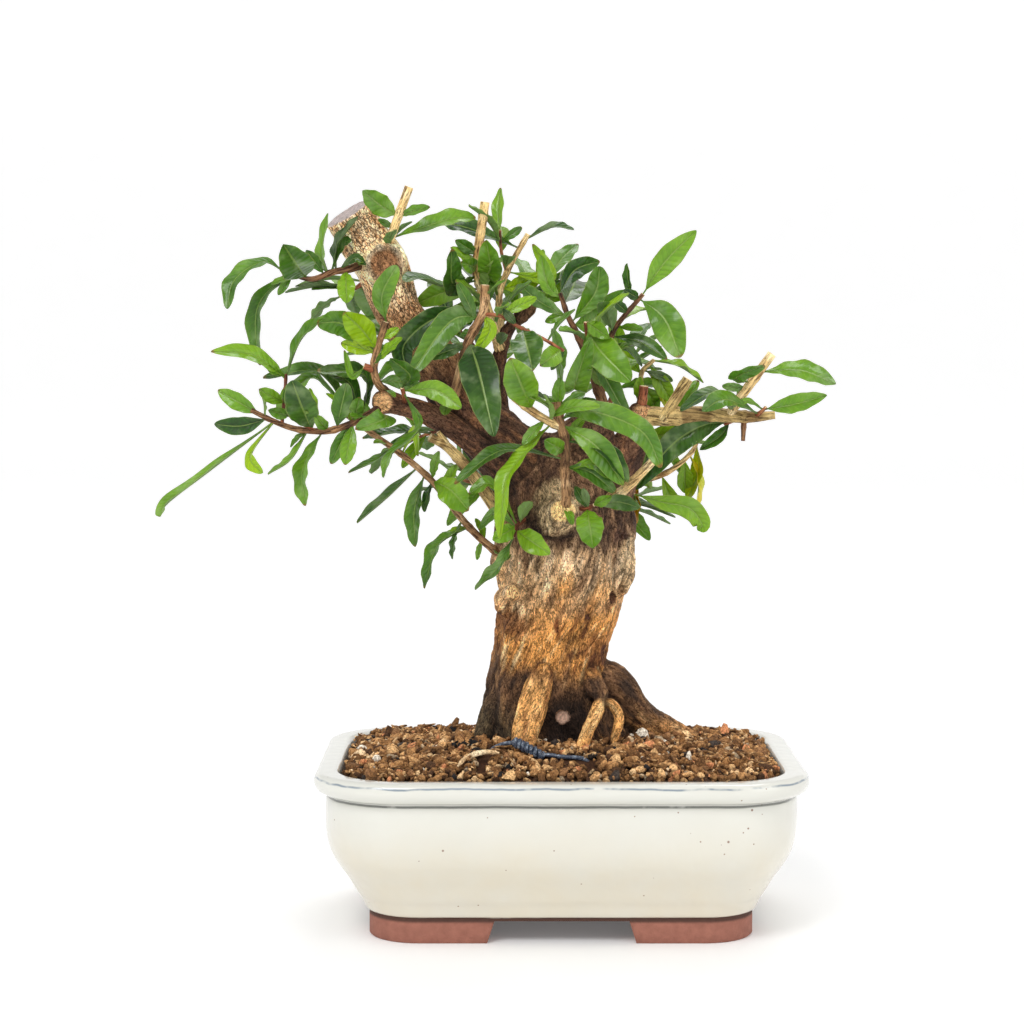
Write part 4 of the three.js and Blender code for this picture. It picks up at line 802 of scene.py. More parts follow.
# Kinds of wood: the colour, and what it goes to in dark and in light streaks.
WOODS = {
    "top": ((114, 83, 61), (72, 50, 39), (164, 126, 95)),
    "grey": ((210, 172, 128), (156, 118, 82), (242, 212, 174)),
    "gold": ((214, 150, 80), (136, 84, 42), (255, 218, 160)),
    "worn": ((108, 62, 32), (76, 44, 28), (158, 96, 46)),
    "bark": ((104, 74, 50), (60, 42, 30), (152, 112, 74)),
    "moss": ((80, 68, 48), (50, 42, 32), (124, 100, 68)),
    "root": ((212, 156, 92), (150, 98, 54), (240, 196, 134)),
    "side root": ((206, 152, 96), (160, 108, 62), (232, 186, 132)),
    "arm": ((100, 70, 52), (62, 42, 33), (156, 110, 76)),
    "middle arm": ((190, 140, 98), (124, 86, 58), (226, 182, 132)),
    "stump": ((250, 222, 180), (218, 172, 124), (255, 242, 210)),
    "cone": ((200, 172, 132), (150, 120, 88), (226, 202, 162)),
    "bare patch": ((208, 178, 138), (172, 140, 102), (226, 200, 164)),
}
BLACK = colour(40, 28, 22)
KNOT_RING = colour(62, 38, 26)
KNOTHOLE_LIP = colour(242, 210, 162)
SAWN_FACE = colour(204, 188, 184)

TWIG_COLOURS = {
    "olive": ((194, 166, 108), (140, 112, 68), (226, 202, 146)),
    "stick": ((224, 190, 130), (172, 130, 78), (246, 222, 172)),
    "brown": ((118, 82, 54), (80, 54, 38), (158, 118, 80)),
    "tan": ((156, 118, 80), (108, 78, 50), (196, 158, 116)),
    "red": ((140, 80, 52), (98, 56, 40), (176, 118, 78)),
}
CUT_WOOD = colour(236, 214, 172)
KNOT_SPACING = 17


def oval(across, down, mark):
    """How far out each drawn place is in an oval mark: 0 in its middle and 1 at its edge."""
    at, below, wide, tall = mark
    return np.hypot((across - at) / wide, (down - below) / tall)


def limb_line(places, spacing=1.6):
    """A limb's smooth centre line, with its radius going smoothly from place to place."""
    places = np.asarray(places, float)
    centres = sheet(places[:, :3])
    count = max(int(travelled(centres)[-1] / spacing), 4)
    line = smooth_path(np.column_stack([centres, places[:, 3]]), count)
    return line[:, :3], np.maximum(line[:, 3], 0.4)


def column_rows():
    """The trunk's cross sections, drawn out into many: centre, half width and half depth of each."""
    rows = smooth_path(TRUNK_SECTIONS, 90)
    left = sheet(rows[:, [1, 0, 4]])
    right = sheet(rows[:, [2, 0, 4]])
    return (left + right) / 2, (right - left)[:, 0] / 2, rows[:, 3]


def column_gap(points):
    """How far each point is outside the trunk's column, and the column's centre at its height.

    The distance is the share by which the point is past the ellipse, times its half depth.
    """
    centre, half_width, half_depth = column_rows()
    x, y, width, depth = [np.interp(points[:, 2], centre[:, 2], value)
                          for value in (centre[:, 0], centre[:, 1], half_width, half_depth)]
    reach = np.hypot((points[:, 0] - x) / width, (points[:, 1] - y) / depth)
    return (reach - 1) * depth, x, y


def column_rings():
    """The trunk's column: an ellipse at each section with slowly turning lobes.

    The lobes are the sum of a wave four times and one seven times round, drifting with height,
    and low down one eleven times round. Also gives the two ends of its middle.
    """
    centre, half_width, half_depth = column_rows()
    angle = np.linspace(0, 2 * math.pi, 96, endpoint=False)[None]
    height = centre[:, 2:]
    lobes = 1 + 0.035 * np.sin(4 * angle + height / 26) + 0.025 * np.sin(7 * angle - height / 21)
    lobes = lobes + 0.03 * np.sin(11 * angle + height / 15) * blend(height, 190, 90)
    x = centre[:, :1] + half_width[:, None] * lobes * np.cos(angle)
    y = centre[:, 1:2] + half_depth[:, None] * lobes * np.sin(angle)
    return np.stack([x, y, np.broadcast_to(height, x.shape)], -1), centre[[0, -1]]


def wood_shape():
    """The column, limbs and burls as overlapping closed shapes."""
    shape = Shape()
    shape.wrap(*column_rings())
    for number, places in enumerate(LIMBS):
        path, radii = limb_line(places)
        wave = number * 1.7
        shape.tube(path, radii, 28, lambda angle, row: (
            1 + 0.03 * np.sin(3 * angle + 0.11 * row + wave) + 0.02 * np.sin(5 * angle - 0.08 * row)))
    directions, faces = ball_points(3)
    for across, down, behind, *size in BURLS:
        lump = 1 + 0.07 * cloud_noise(directions * 1.7 + across, 1, 4, 2)[:, None]
        shape.add(sheet((across, down, behind)) + directions * lump * np.array(size) / 2, [faces])
    return shape


def flow(points):
    """How the wood runs at each point: its place across and along the nearest limb, which limb that
    is, and how near the point is to the seam with another limb.

    A limb's distance is that to its centre line less its radius. The column's places are taken
    from its own leaning middle. The cut root has no seam.
    """
    nearest, x, y = column_gap(points)
    place = points - np.column_stack([x, y, 0 * x])
    limb = np.full(len(points), COLUMN)
    second = np.full(len(points), 99.0)
    for number, places in enumerate(LIMBS, 1):
        path, radii = limb_line(places)
        square = (points ** 2).sum(1)[:, None] + (path ** 2).sum(1)[None] - 2 * points @ path.T
        gap = np.sqrt(np.maximum(square, 0)) - radii[None]
        best = gap.argmin(axis=1)
        gap = gap[np.arange(len(points)), best]
        closer = gap < nearest
        offset = points - path[best]
        along, normal, side = frames_along(path)
        local = np.stack([(offset * axis[best]).sum(1) for axis in (normal, side, along)], -1)
        local[:, 2] += travelled(path)[best] + RUN_APART * number
        second = np.where(closer, nearest, np.minimum(second, gap + 90 * (number == CUT)))
        nearest = np.where(closer, gap, nearest)
        place = np.where(closer[:, None], local, place)
        limb = np.where(closer, number, limb)
    return place, limb, blend(second - nearest, 2.6, 0.4)


def slanted(place, limb):
    """Places on the wood with those on the column sheared, so that its grain leans."""
    return place + np.outer(place[:, 2], (-0.28, 0, 0)) * (limb == COLUMN)[:, None]


def ragged(place):
    """A small noise that makes the edges of knots uneven."""
    return cloud_noise(place, 3.2, 18, 2)


def wood_relief(place, across, down, front, limb, seam):
    """Height of the bark over the smooth wood, in millimetres, and how deep its cracks are.

    Long ridges are noise stretched along the limb. Cracks are where a second such noise crosses
    zero: one less its size, to the sixth power. The column sinks in between its roots and along
    the seams. Knots add a rim and a hollow about their middles.
    """
    slant = slanted(place, limb)
    ridges = cloud_noise(slant, (4.2, 4.2, 21), 11)
    lumps = cloud_noise(place, (10, 10, 16), 12, 2)
    crack = (1 - np.abs(cloud_noise(slant, (3, 3, 15), 13, 2))) ** 6
    crack = crack * blend(cloud_noise(place, (9, 9, 22), 14, 1), -0.5, 0.4)
    small = cloud_noise(slant, (1.5, 1.5, 2.6), 15, 2)
    column = limb == COLUMN
    flutes = cloud_noise(slant, (6.5, 6.5, 34), 17, 1) * column * blend(down, 590, 700)
    strength = np.where(column, 1.0, np.where(limb <= LAST_ROOT, 0.6, 0.7))
    relief = strength * (0.85 * ridges + 1.7 * lumps + 0.42 * small) - 1.2 * strength * crack + 1.6 * flutes
    between = column * blend(down, 690, 716) * front * blend(across, 512, 528) * blend(across, 640, 610)
    relief = relief - 2.6 * between - 0.8 * seam
    uneven = 0.15 * lumps + 0.16 * ragged(place)
    for mark, rim, middle, _, _ in KNOTS:
        radius = oval(across, down, mark) + uneven
        relief = relief + front * (rim * bell(radius - 1, 0.26) + middle * blend(radius, 0.95, 0.35))
    return relief, crack


def streaked(wood, streak):
    """A kind of wood's colour, going to its shade in low streaks and to its light in high ones."""
    base, shade, light = (colour(*tone) for tone in WOODS[wood])
    tint = mix(np.broadcast_to(base, (len(streak), 3)), shade, blend(streak, -0.05, -0.55))
    return mix(tint, light, blend(streak, 0.1, 0.6))


def wood_colours(place, across, down, front, limb, seam, relief, crack, tips):
    """The colour of the wood at each point, from where it is on the tree and how the bark runs.

    The column goes from dark bark at the top through grey tan to gold, patched with brown, and
    darkens at the soil. Each streak is noise stretched along the slanting wood.
    """
    slant = slanted(place, limb)
    streak = cloud_noise(slant, (2.6, 2.6, 12), 21)
    patch = cloud_noise(place, (10, 10, 17), 22)
    fleck = cloud_noise(slant, (1.1, 1.1, 2.2), 23, 2)
    bark, worn = streaked("bark", streak), streaked("worn", streak)
    grey = blend(down + 26 * patch + 12 * streak, 524, 594)
    tint = mix(streaked("top", streak), streaked("grey", streak), grey)
    golden = blend(down + 34 * patch + 14 * streak + 0.10 * (across - 560), 574, 630)
    tint = mix(tint, streaked("gold", streak), golden)
    wear = blend(patch + 0.35 * streak, 0.02, 0.34) * blend(down, 585, 615)
    for mark, share in ((WORN_LEFT, 0.9), (WORN_RIGHT, 0.8)):
        wear = np.maximum(wear, share * front * blend(oval(across, down, mark) + 0.5 * streak, 1.1, 0.5))
    tint = mix(tint, worn, 0.9 * wear)
    tint = mix(tint, bark, blend(down + 16 * patch - 0.22 * (across - 540), 656, 684))
    left_foot = blend(down - 0.7 * (across - 480), 672, 716) * blend(across, 548, 512)
    tint = mix(tint, streaked("moss", streak), 0.9 * left_foot)

    front_roots = np.isin(limb, (FRONT_ROOT, THIN_ROOT, FORKED_ROOT))
    root = mix(streaked("root", streak), worn, 0.8 * blend(patch + 0.4 * streak, 0.08, 0.34))
    thin_top = (limb == THIN_ROOT) * blend(down + 3 * streak, 705, 694)
    covered = np.where(limb == FRONT_ROOT, blend(down + 5 * streak, 688, 672), thin_top)
    tint = np.where(front_roots[:, None], mix(root, tint, covered), tint)
    tint = np.where(np.isin(limb, (BACK_ROOT, LAST_ROOT))[:, None], bark, tint)
    tint = mix(tint, bark, thin_top * blend(down, 672, 682))
    side_root = mix(bark, streaked("side root", streak), blend(down + 7 * streak, 712, 730))
    tint = np.where((limb == SIDE_ROOT)[:, None], side_root, tint)

    arm = streaked("arm", streak)
    for wood, low, high in (("middle arm", 392, 340), ("stump", 318, 276)):
        arm = mix(arm, streaked(wood, streak), (limb == STUMP) * blend(down + 14 * patch, low, high))
    tint = mix(tint, arm, (limb >= STUMP) * np.where(down < 470, 1, blend(down, 500, 455)))
    tint = mix(tint, streaked("cone", streak), front * blend(oval(across, down, CONE), 1.05, 0.75))
    shadow = front * bell(oval(across, down, CONE_SHADOW) - 1, 0.16) * blend(down, 500, 522)
    tint = mix(tint, BLACK, 0.8 * shadow)
    bare = front * blend(oval(across, down, BARE_PATCH), 1.1, 0.7)
    tint = mix(tint, streaked("bare patch", streak), 0.95 * bare)
    # Painted shade: the hollow between the front roots goes almost black.
    cavity_shade = blend(oval(across, down, CAVITY_SHADE), 1.25, 0.7) * front * (limb == COLUMN)
    tint = mix(tint, BLACK, 0.85 * cavity_shade)

    # Painted shade and light: the wood is darker where its relief sinks and lighter where it rises.
    tint = tint * (1 + 0.34 * fleck + 0.24 * np.clip(relief, -1.4, 1.4))[:, None]
    # Cracks darken, and the creases where limbs meet get painted shade, most low on the roots.
    seam = seam * np.where(limb <= LAST_ROOT, blend(down, 672, 700), 0.5)
    tint = mix(tint, BLACK, 0.75 * np.maximum(crack, 0.95 * seam))
    rough = ragged(place)
    lip = front * bell(oval(across, down, KNOTHOLE) + 0.15 * rough - 1, 0.13)
    tint = mix(tint, KNOTHOLE_LIP * (1 + 0.5 * fleck)[:, None], 0.95 * lip)
    for mark, _, _, inner, ringed in KNOTS:
        radius = oval(across, down, mark) + (0.12 * patch + 0.16 * rough) * (1 - 0.6 * ringed)
        rings = 1 + 0.35 * ringed * np.sin(14 * radius + 3 * patch) + (0.45 - 0.3 * ringed) * fleck
        tint = mix(tint, colour(*inner) * rings[:, None], front * blend(radius, 1.0, 0.75))
        tint = mix(tint, KNOT_RING, 0.65 * ringed * front * bell(radius - 0.95, 0.08))
    reach, turn = np.hypot(place[:, 0], place[:, 1]), np.arctan2(place[:, 1], place[:, 0])
    rings = 1 + 0.11 * np.sin(2.4 * reach + streak) + 0.12 * fleck
    splits = blend(np.sin(11 * turn + 1.2 * patch), 0.9, 1.0) * blend(reach, 2.0, 5.0)
    tint = mix(tint, SAWN_FACE * (rings * (1 - 0.45 * splits))[:, None], tips)
    return np.clip(tint, 0.004, 0.9)


def plate_share(across, down, front, limb, tips):
    """How far the bark is broken into plates: fully on the stump but for its knothole, less on
    the other limbs and not at all on the column. It is -1 on sawn faces, which have no bark."""
    hole = blend(oval(across, down, KNOTHOLE), 1.15, 0.9)
    plates = np.where(limb == STUMP, 0.4 + 0.6 * blend(down, 350, 300), 0.4 * (limb > STUMP)) * (1 - hole)
    sawn = np.maximum(tips, front * blend(oval(across, down, CUT_FACE), 1.0, 0.8))
    return plates * (1 - sawn) - sawn


def add_trunk(settings):
    """Fuses the wood's shapes, then moves each point along its normal by the bark's relief."""
    trunk = wood_shape().build("trunk_wood")
    fuse = trunk.modifiers.new("fuse", "REMESH")
    fuse.mode = "VOXEL"
    fuse.voxel_size = settings.wood_cell
    ease = trunk.modifiers.new("ease", "SMOOTH")
    ease.factor, ease.iterations = 0.5, 3
    apply_modifiers(trunk)
    mesh = trunk.data
    points, normals = mesh_points(mesh), read_points(mesh, "normal")
    across, down = drawn(points)
    front = blend(-normals[:, 1], -0.1, 0.3)
    place, limb, seam = flow(points)
    before, end = sheet(np.array(STUMP_ARM)[-2:, :3])
    way = unit(end - before)
    tips = (limb == STUMP) * blend((points - end) @ way, -0.9, -0.4) * blend(normals @ way, 0.5, 0.8)
    relief, crack = wood_relief(place, across, down, front, limb, seam)
    relief = relief * settings.bark_depth * (1 - 0.9 * tips)
    points = points + normals * relief[:, None]
    mesh.vertices.foreach_set("co", ((points + POT_MIDDLE) / 1000).astype(np.float32).ravel())
    write_value(mesh, "tone", wood_colours(place, across, down, front, limb, seam, relief, crack, tips))
    write_value(mesh, "grain", place / np.array([1, 1, 6]))
    write_value(mesh, "plates", plate_share(across, down, front, limb, tips))
    mesh.polygons.foreach_set("use_smooth", np.ones(len(mesh.polygons), bool))
    mesh.materials.append(bark_material(settings))
    mesh.update()
    settle(trunk, "trunk", "trunk")


def twig(shape, path, radii, kind, number, sides=14):
    """A ridged twig with a flat end cut square: its radius waves round it and swells at its knots.

    Ridges are a sum of waves seven and twelve times round, with painted shade in the grooves between
    them, and each swelling is a narrow bump at every knot along.
    """
    flutes, depth = (0.05, 0.4) if kind in ("stick", "olive") else (0.02, 0.35)
    run = travelled(path)
    knots = 1 + 0.16 * bell((run + 5.1 * number) % KNOT_SPACING - KNOT_SPACING / 2, 1.3)
    path = np.vstack([path, path[-1:] + (path[-1:] - path[-2:-1]) * 0.02])
    radii = np.append(radii * knots, radii[-1] * 0.72)
    run = np.append(run, run[-1])
    base, shade, light = (colour(*tone) for tone in TWIG_COLOURS[kind])
    streak = cloud_noise(np.column_stack([run / 5, np.full(len(run), number * 3.3), run * 0]), 1, 31)
    tint = mix(np.broadcast_to(base, (len(run), 3)), shade, blend(streak, -0.05, -0.6))
    tint = mix(tint, light, blend(streak, 0.1, 0.7))
    tint[-1] = CUT_WOOD
    grain = np.column_stack([run * 0 + number * 7.0, run * 0, run / 6])
    shape.tube(path, radii, sides, lambda angle, row: (
        1 + flutes * np.sin(7 * angle + 0.05 * row + number) + 0.6 * flutes * np.sin(12 * angle + number)),
        tone=tint, grain=grain)
    around = shape.points[-1] - np.vstack([np.repeat(path, sides, axis=0), path[[0, -1]]])
    shape.values["grain"][-1] = shape.values["grain"][-1] + around
    # Painted shade: the grooves between the ridges are darkened by the depth.
    angle = np.tile(np.linspace(0, 2 * math.pi, sides, endpoint=False), len(path))
    wave = np.sin(7 * angle + 0.05 * np.repeat(np.arange(len(path)), sides) + number)
    groove = np.append(blend(wave, -0.1, -0.8) * np.repeat(run < run[-1], sides), [0, 0])
    shape.values["tone"][-1] = shape.values["tone"][-1] * (1 - depth * groove)[:, None]


def add_branches():
    """The pruned branches and snags that stand on the limbs, each a ridged twig."""
    shape = Shape()
    for number, (kind, places) in enumerate(THIN_BRANCHES):
        path, radii = limb_line(places, 1.0)
        twig(shape, path, radii, kind, number, sides=20)
    settle(shape.build("pruned_branches", twig_material()), "trunk", "trunk")


# ---------------------------------------------------------------- shoots, as they are drawn

STALK_RADIUS = 0.4
STALK = 0.05  # share of a leaf's length that is its stalk
SLENDERNESS = 0.3
USUAL_WIDTH = 11
ROUNDEST = 0.42
LONGEST_BLADE = 50
BLADE_ARCH = 0.07
BACK_LEAVES = 5
MATCH = 0.15  # how near a leaf's tip is to its CAD solid's tip when it is the same leaf

# The ways a leaf bends at its root to pass its neighbours: swing, dip and length.
BENDS = [
    (swing, dip, length) for length in (1, 0.75) for swing in (0, 9, -9, 18, -18, 30, -30)
    for dip in (0, -12, 12, -24, 24, -38, 38)
]

BLADE_ACROSS = np.array([-1, -0.93, -0.7, -0.42, -0.12, 0, 0.12, 0.42, 0.7, 0.93, 1])
BLADE_ROWS, SMALL_ROWS = 26, 15
STEM_SPACING, CROWN_SPACING = 15.0, 6.5  # run of stem for each small leaf
GOLDEN_TURN = 2.4


class Draws:
    """Even draws from a seed: the state times 1664525 plus 1013904223, modulo 2 to the 32."""

    def __init__(self, seed):
        self.state = seed

    def __call__(self, low, high):
        self.state = (self.state * 1664525 + 1013904223) % 4294967296
        return low + (high - low) * (self.state / 4294967296)


def leaf(width, *numbers, tone=None):
    """A drawn leaf: its width as seen from the front, its places from the stem to the tip, and how
    yellow it is: 0 is dark green, 1 is yellow-green and 2 is orange."""
    return width, np.array(numbers, float).reshape(-1, 2), tone


def stem(root_radius, tip_radius, *places, kind="red"):
    """A drawn stem: its places with a radius that goes evenly from root to tip, and its wood."""
    return np.column_stack([places, np.linspace(root_radius, tip_radius, len(places))]), kind


def shoot(name, stems, leaves):
    """A shoot with drawn leaves."""
    return "shoot_" + name, stems, leaves


def back_shoot(name, *places):
    """A shoot behind the tree, whose leaves follow a rule along its stem."""
    return "shoot_back_" + name, [stem(1.5, 0.8, *places)], None


SHOOTS = [
    shoot("front_burl", [
        stem(2.4, 2.3, (563, 512, -20), (566, 500, -28), (565, 470, -31), (565, 440, -33),
             (558, 418, -34), (556, 402, -34), kind="tan"),
        stem(2.1, 2.1, (560, 427, -33.5), (538, 415, -36), (514, 397, -38), kind="stick"),
    ], [
        leaf(12.5, 576, 417, 596, 446, 623, 485, tone=0.35),
        leaf(12.5, 562, 419, 585, 410, 640, 430, 662, 468, tone=0.3),
        leaf(7, 548, 430, 527, 450, 506, 481, 502, 540, tone=0.62),
        leaf(16, 533, 410, 510, 358, tone=0.4),
        leaf(5.5, 545, 419, 570, 407, 600, 405),
        leaf(6.5, 558, 408, 560, 378),
        leaf(4.5, 562, 408, 585, 394),
        leaf(5, 545, 424, 522, 445),
        leaf(5, 562, 459, 517, 449, 490, 455, 454, 484),
        leaf(8.5, 565, 452, 544, 440, tone=0.3),
        leaf(5, 565, 470, 592, 464, 612, 478),
        leaf(7, 568, 440, 605, 450, 628, 482),
        leaf(8, 567, 468, 590, 472, 616, 493),
    ]),
    shoot("front_arm", [
        stem(2.5, 2.2, (450, 408, -4), (456, 388, -12), (467, 345, -18), (483, 312, -21),
             (485, 285, -23), kind="tan"),
        stem(0.9, 0.8, (481, 314, -21), (500, 316, -24), (517, 326, -27), (540, 337, -29), (564, 351, -31)),
    ], [
        leaf(19, 470, 342, 480, 375, 497, 446, tone=0),
        leaf(13, 480, 316, 450, 322, 410, 375, tone=0.22),
        leaf(12, 478, 318, 440, 316, 404, 345, 410, 377, tone=0.02),
        leaf(16, 522, 328, 533, 372),
        leaf(7, 484, 314, 490, 330, 475, 353, tone=0.75),
        leaf(6.5, 466, 345, 428, 358),
        leaf(6, 500, 316, 537, 297, tone=0.6),
        leaf(4.5, 517, 326, 503, 309),
        leaf(10, 560, 349, 540, 366, tone=0.5),
        leaf(4, 563, 351, 551, 370),
    ]),
    shoot("crown_front", [
        stem(1.8, 1.2, (590, 372, 3), (589, 350, -3), (586, 322, -8)),
    ], [
        leaf(17, 588, 328, 600, 350, 630, 381, tone=0.4),
        leaf(13, 588, 360, 574, 390, 590, 336, tone=0.35),
        leaf(8, 586, 322, 609, 338),
        leaf(9, 588, 350, 604, 375, 628, 419),
    ]),
    shoot("crown_right", [
        stem(1.9, 1.1, (599, 396, 7), (608, 364, 6), (613, 332, 3), (643, 294, -3), kind="brown"),
    ], [
        leaf(12, 642, 292, 665, 262, 696, 231, tone=0.42),
        leaf(16, 641, 300, 664, 318, 680, 357, tone=0.3),
        leaf(7.5, 614, 335, 640, 342, 667, 360),
        leaf(5, 640, 298, 624, 290),
        leaf(4, 616, 328, 643, 329),
        leaf(4, 612, 345, 630, 350, 643, 366),
        leaf(5, 628, 312, 613, 300),
    ]),
    shoot("crown_middle", [
        stem(2, 1.1, (591, 366, 8), (577, 334, 9), (568, 316, 9), (560, 293, 9), kind="brown"),
    ], [
        leaf(13, 572, 326, 592, 320, 625, 290, tone=0.3),
        leaf(18, 565, 305, 577, 278),
        leaf(12, 572, 322, 595, 293, 600, 266),
        leaf(10, 561, 294, 575, 270, 600, 261),
        leaf(5, 566, 314, 545, 322),
        leaf(8, 563, 300, 548, 285, 541, 255),
        leaf(8, 570, 318, 538, 300, 520, 284),
    ]),
    shoot("crown_stick", [
        stem(1.9, 1.3, (503, 338, 19), (499, 300, 19), (507, 272, 18), (528, 234, 16), kind="stick"),
        stem(0.8, 0.7, (507, 275, 18), (501, 250, 15), (500, 230, 13)),
    ], [
        leaf(8.5, 519, 250, 470, 228, 444, 222),
        leaf(6, 500, 232, 498, 212, 501, 188, tone=0.5),
        leaf(8, 508, 272, 548, 277, 533, 243, tone=0.75),
        leaf(9, 501, 288, 522, 284, 545, 275, tone=0.85),
        leaf(3.5, 526, 237, 553, 226, 574, 230),
        leaf(4.5, 501, 242, 522, 227),
        leaf(7, 503, 285, 556, 296, 580, 276, tone=0.6),
    ]),
    shoot("crown_left", [
        stem(2.6, 2.3, (500, 350, 11), (488, 312, 6), (478, 275, 3), (477, 262, 2),
             (485, 202, -1), kind="stick"),
    ], [
        leaf(11, 479, 290, 445, 292, 413, 304, tone=0.4),
        leaf(12.5, 479, 282, 490, 270, 486, 241, tone=0.3),
        leaf(12.5, 477, 276, 454, 285, 453, 250, tone=0.05),
        leaf(6.5, 479, 252, 455, 240),
        leaf(4, 478, 280, 442, 285, 411, 277, 393, 281),
        leaf(6, 485, 302, 447, 314),
        leaf(8, 479, 268, 462, 262),
    ]),
    shoot("stump_stick", [
        stem(2.3, 2.2, (388, 250, -8), (392, 234, -12), (409, 187, -15), kind="stick"),
    ], [
        leaf(11, 399, 214, 380, 205, 363, 191, tone=0.4),
        leaf(8, 394, 238, 420, 228, 452, 218, 476, 218),
        leaf(5, 400, 219, 430, 207),
        leaf(3.5, 395, 229, 378, 219),
    ]),
    shoot("stump_left", [
        stem(2.2, 1, (368, 262, -8), (350, 269, -14), (333, 272, -17), (310, 279, -20),
             (283, 270, -24), kind="brown"),
    ], [
        leaf(17, 306, 279, 283, 244, tone=0.12),
        leaf(7, 284, 270, 265, 261, 244, 270, 231, 284, 226, 308, tone=0.2),
        leaf(8, 296, 276, 271, 288, 257, 307, 254, 333, 258, 366, tone=0.15),
        leaf(4, 294, 276, 278, 295),
        leaf(6, 325, 273, 306, 250),
        leaf(4.5, 328, 272, 321, 251, 327, 213),
        leaf(3.5, 335, 271, 337, 245, 359, 217),
        leaf(4, 331, 272, 343, 245, 351, 239),
        leaf(4.5, 337, 271, 355, 258, 366, 265),
        leaf(9, 345, 271, 347, 303, tone=0.55),
    ]),
    shoot("arm_stem", [
        stem(2.1, 1.7, (390, 394, -10), (379, 385, -19), (374, 370, -22), (377, 350, -23),
             (386, 322, -25), kind="tan"),
        stem(1.7, 1.6, (374, 370, -22), (364, 366, -23)),
    ], [
        leaf(10.5, 386, 322, 382, 295, 397, 265, tone=0.35),
        leaf(13, 377, 350, 362, 330, 344, 313, tone=0.75),
        leaf(12.5, 375, 355, 345, 325, 317, 323, tone=0.3),
        leaf(7, 377, 352, 341, 343, tone=0.85),
        leaf(4.5, 381, 338, 399, 328, tone=0.7),
        leaf(4.5, 377, 365, 403, 338, tone=0.6),
        leaf(3, 366, 376, 391, 351),
        leaf(3.5, 365, 367, 352, 376, 344, 350),
        leaf(7.5, 377, 381, 400, 382, 430, 394),
    ]),
    shoot("left_knob", [
        stem(1.2, 1, (404, 406, -15), (404, 396, -23), (402, 388, -26)),
    ], [
        leaf(10, 403, 391, 435, 390, 461, 408, tone=0.45),
        leaf(10, 402, 388, 410, 376, 390, 358, tone=0.1),
        leaf(5, 403, 392, 419, 426, 391, 453, 384, 478),
    ]),
    shoot("left_stem", [
        stem(2.1, 1.2, (382, 406, -17), (370, 414, -21), (360, 420, -22), (333, 430, -23),
             (312, 431, -24), (292, 428, -25), (271, 420, -26), (251, 410, -27), kind="brown"),
        stem(0.9, 0.8, (282, 424, -25.5), (285, 391, -24), (286, 374, -23)),
        stem(0.8, 0.7, (316, 431, -24), (300, 423, -29), (287, 414, -31)),
    ], [
        leaf(11, 372, 412, 385, 418, 355, 430),
        leaf(8, 352, 423, 345, 465),
        leaf(7.5, 350, 424, 331, 464),
        leaf(7.5, 322, 431, 302, 470, 306, 506),
        leaf(3, 308, 431, 290, 458, 267, 473),
        leaf(3.5, 274, 422, 211, 468, 168, 502, 162, 518, tone=0.4),
        leaf(4, 274, 422, 253, 448, 250, 461, 262, 473, tone=0.8),
        leaf(9, 269, 420, 240, 426, 214, 424),
        leaf(8.5, 262, 414, 218, 390),
        leaf(7, 280, 402, 259, 389, tone=0.5),
        leaf(6, 290, 416, 268, 410),
        leaf(7, 285, 378, 271, 366, 246, 351, 208, 347, tone=0.5),
        leaf(4.5, 286, 376, 266, 366),
        leaf(4.5, 286, 374, 300, 338, 325, 314),
        leaf(15, 312, 430, 292, 381),
        leaf(4, 311, 430, 309, 388, tone=0.6),
        leaf(4.5, 286, 414, 298, 398),
        leaf(10, 338, 428, 347, 383),
        leaf(7, 352, 423, 360, 397),
        leaf(6, 327, 430, 315, 415),
    ]),
    shoot("low_left", [
        stem(2.1, 1.3, (508, 562, 6), (494, 550, 0), (480, 538, -3), (462, 519, -5), (432, 481, -8),
             (401, 454, -10), (377, 437, -11), (345, 414, -12), kind="tan"),
    ], [
        leaf(13.5, 432, 479, 450, 490, 469, 511, tone=0.45),
        leaf(8, 426, 475, 414, 510, 416, 547),
        leaf(4, 431, 481, 424, 512),
        leaf(3.5, 418, 468, 385, 497, 355, 521),
        leaf(4.5, 470, 527, 437, 545, 425, 589),
        leaf(3, 462, 520, 451, 559),
        leaf(3, 481, 540, 477, 560),
        leaf(4.5, 434, 483, 439, 451),
        leaf(7, 403, 455, 415, 432, 418, 456, tone=0.8),
        leaf(3, 392, 448, 374, 460, 348, 472),
        leaf(4.5, 352, 419, 320, 372, 263, 380),
        leaf(4.5, 362, 426, 366, 376, 317, 371),
        leaf(3.5, 352, 419, 317, 377, 292, 396, 284, 418),
        leaf(6, 356, 421, 352, 385, 325, 369),
        leaf(7, 372, 433, 360, 399),
    ]),
    shoot("trunk_left", [
        stem(1.3, 0.9, (524, 520, -12), (517, 526, -21), (513, 537, -25)),
    ], [
        leaf(11, 515, 530, 550, 554, tone=0.5),
        leaf(8.5, 517, 526, 493, 540, tone=0.45),
        leaf(5, 514, 538, 498, 566, 474, 588),
        leaf(5, 517, 527, 497, 512, 479, 530),
        leaf(4, 518, 525, 493, 484, 468, 492),
    ]),
    shoot("burl_right", [
        stem(1.1, 0.8, (576, 508, -16), (586, 509, -24), (594, 505, -28)),
    ], [
        leaf(13.5, 588, 511, 593, 548, tone=0.4),
        leaf(5.5, 593, 505, 612, 496),
        leaf(5, 587, 508, 575, 486),
        leaf(8, 594, 505, 618, 502, 640, 508),
    ]),
    shoot("right_low", [
        stem(1.9, 1, (614, 472, 14), (640, 480, 26), (668, 472, 30), (690, 454, 32),
             (698, 440, 32), kind="stick"),
        stem(1.1, 0.8, (634, 480, 23), (634, 494, 12)),
    ], [
        leaf(11, 634, 494, 661, 502, 689, 508, 702, 524, 698, 531, tone=0.5),
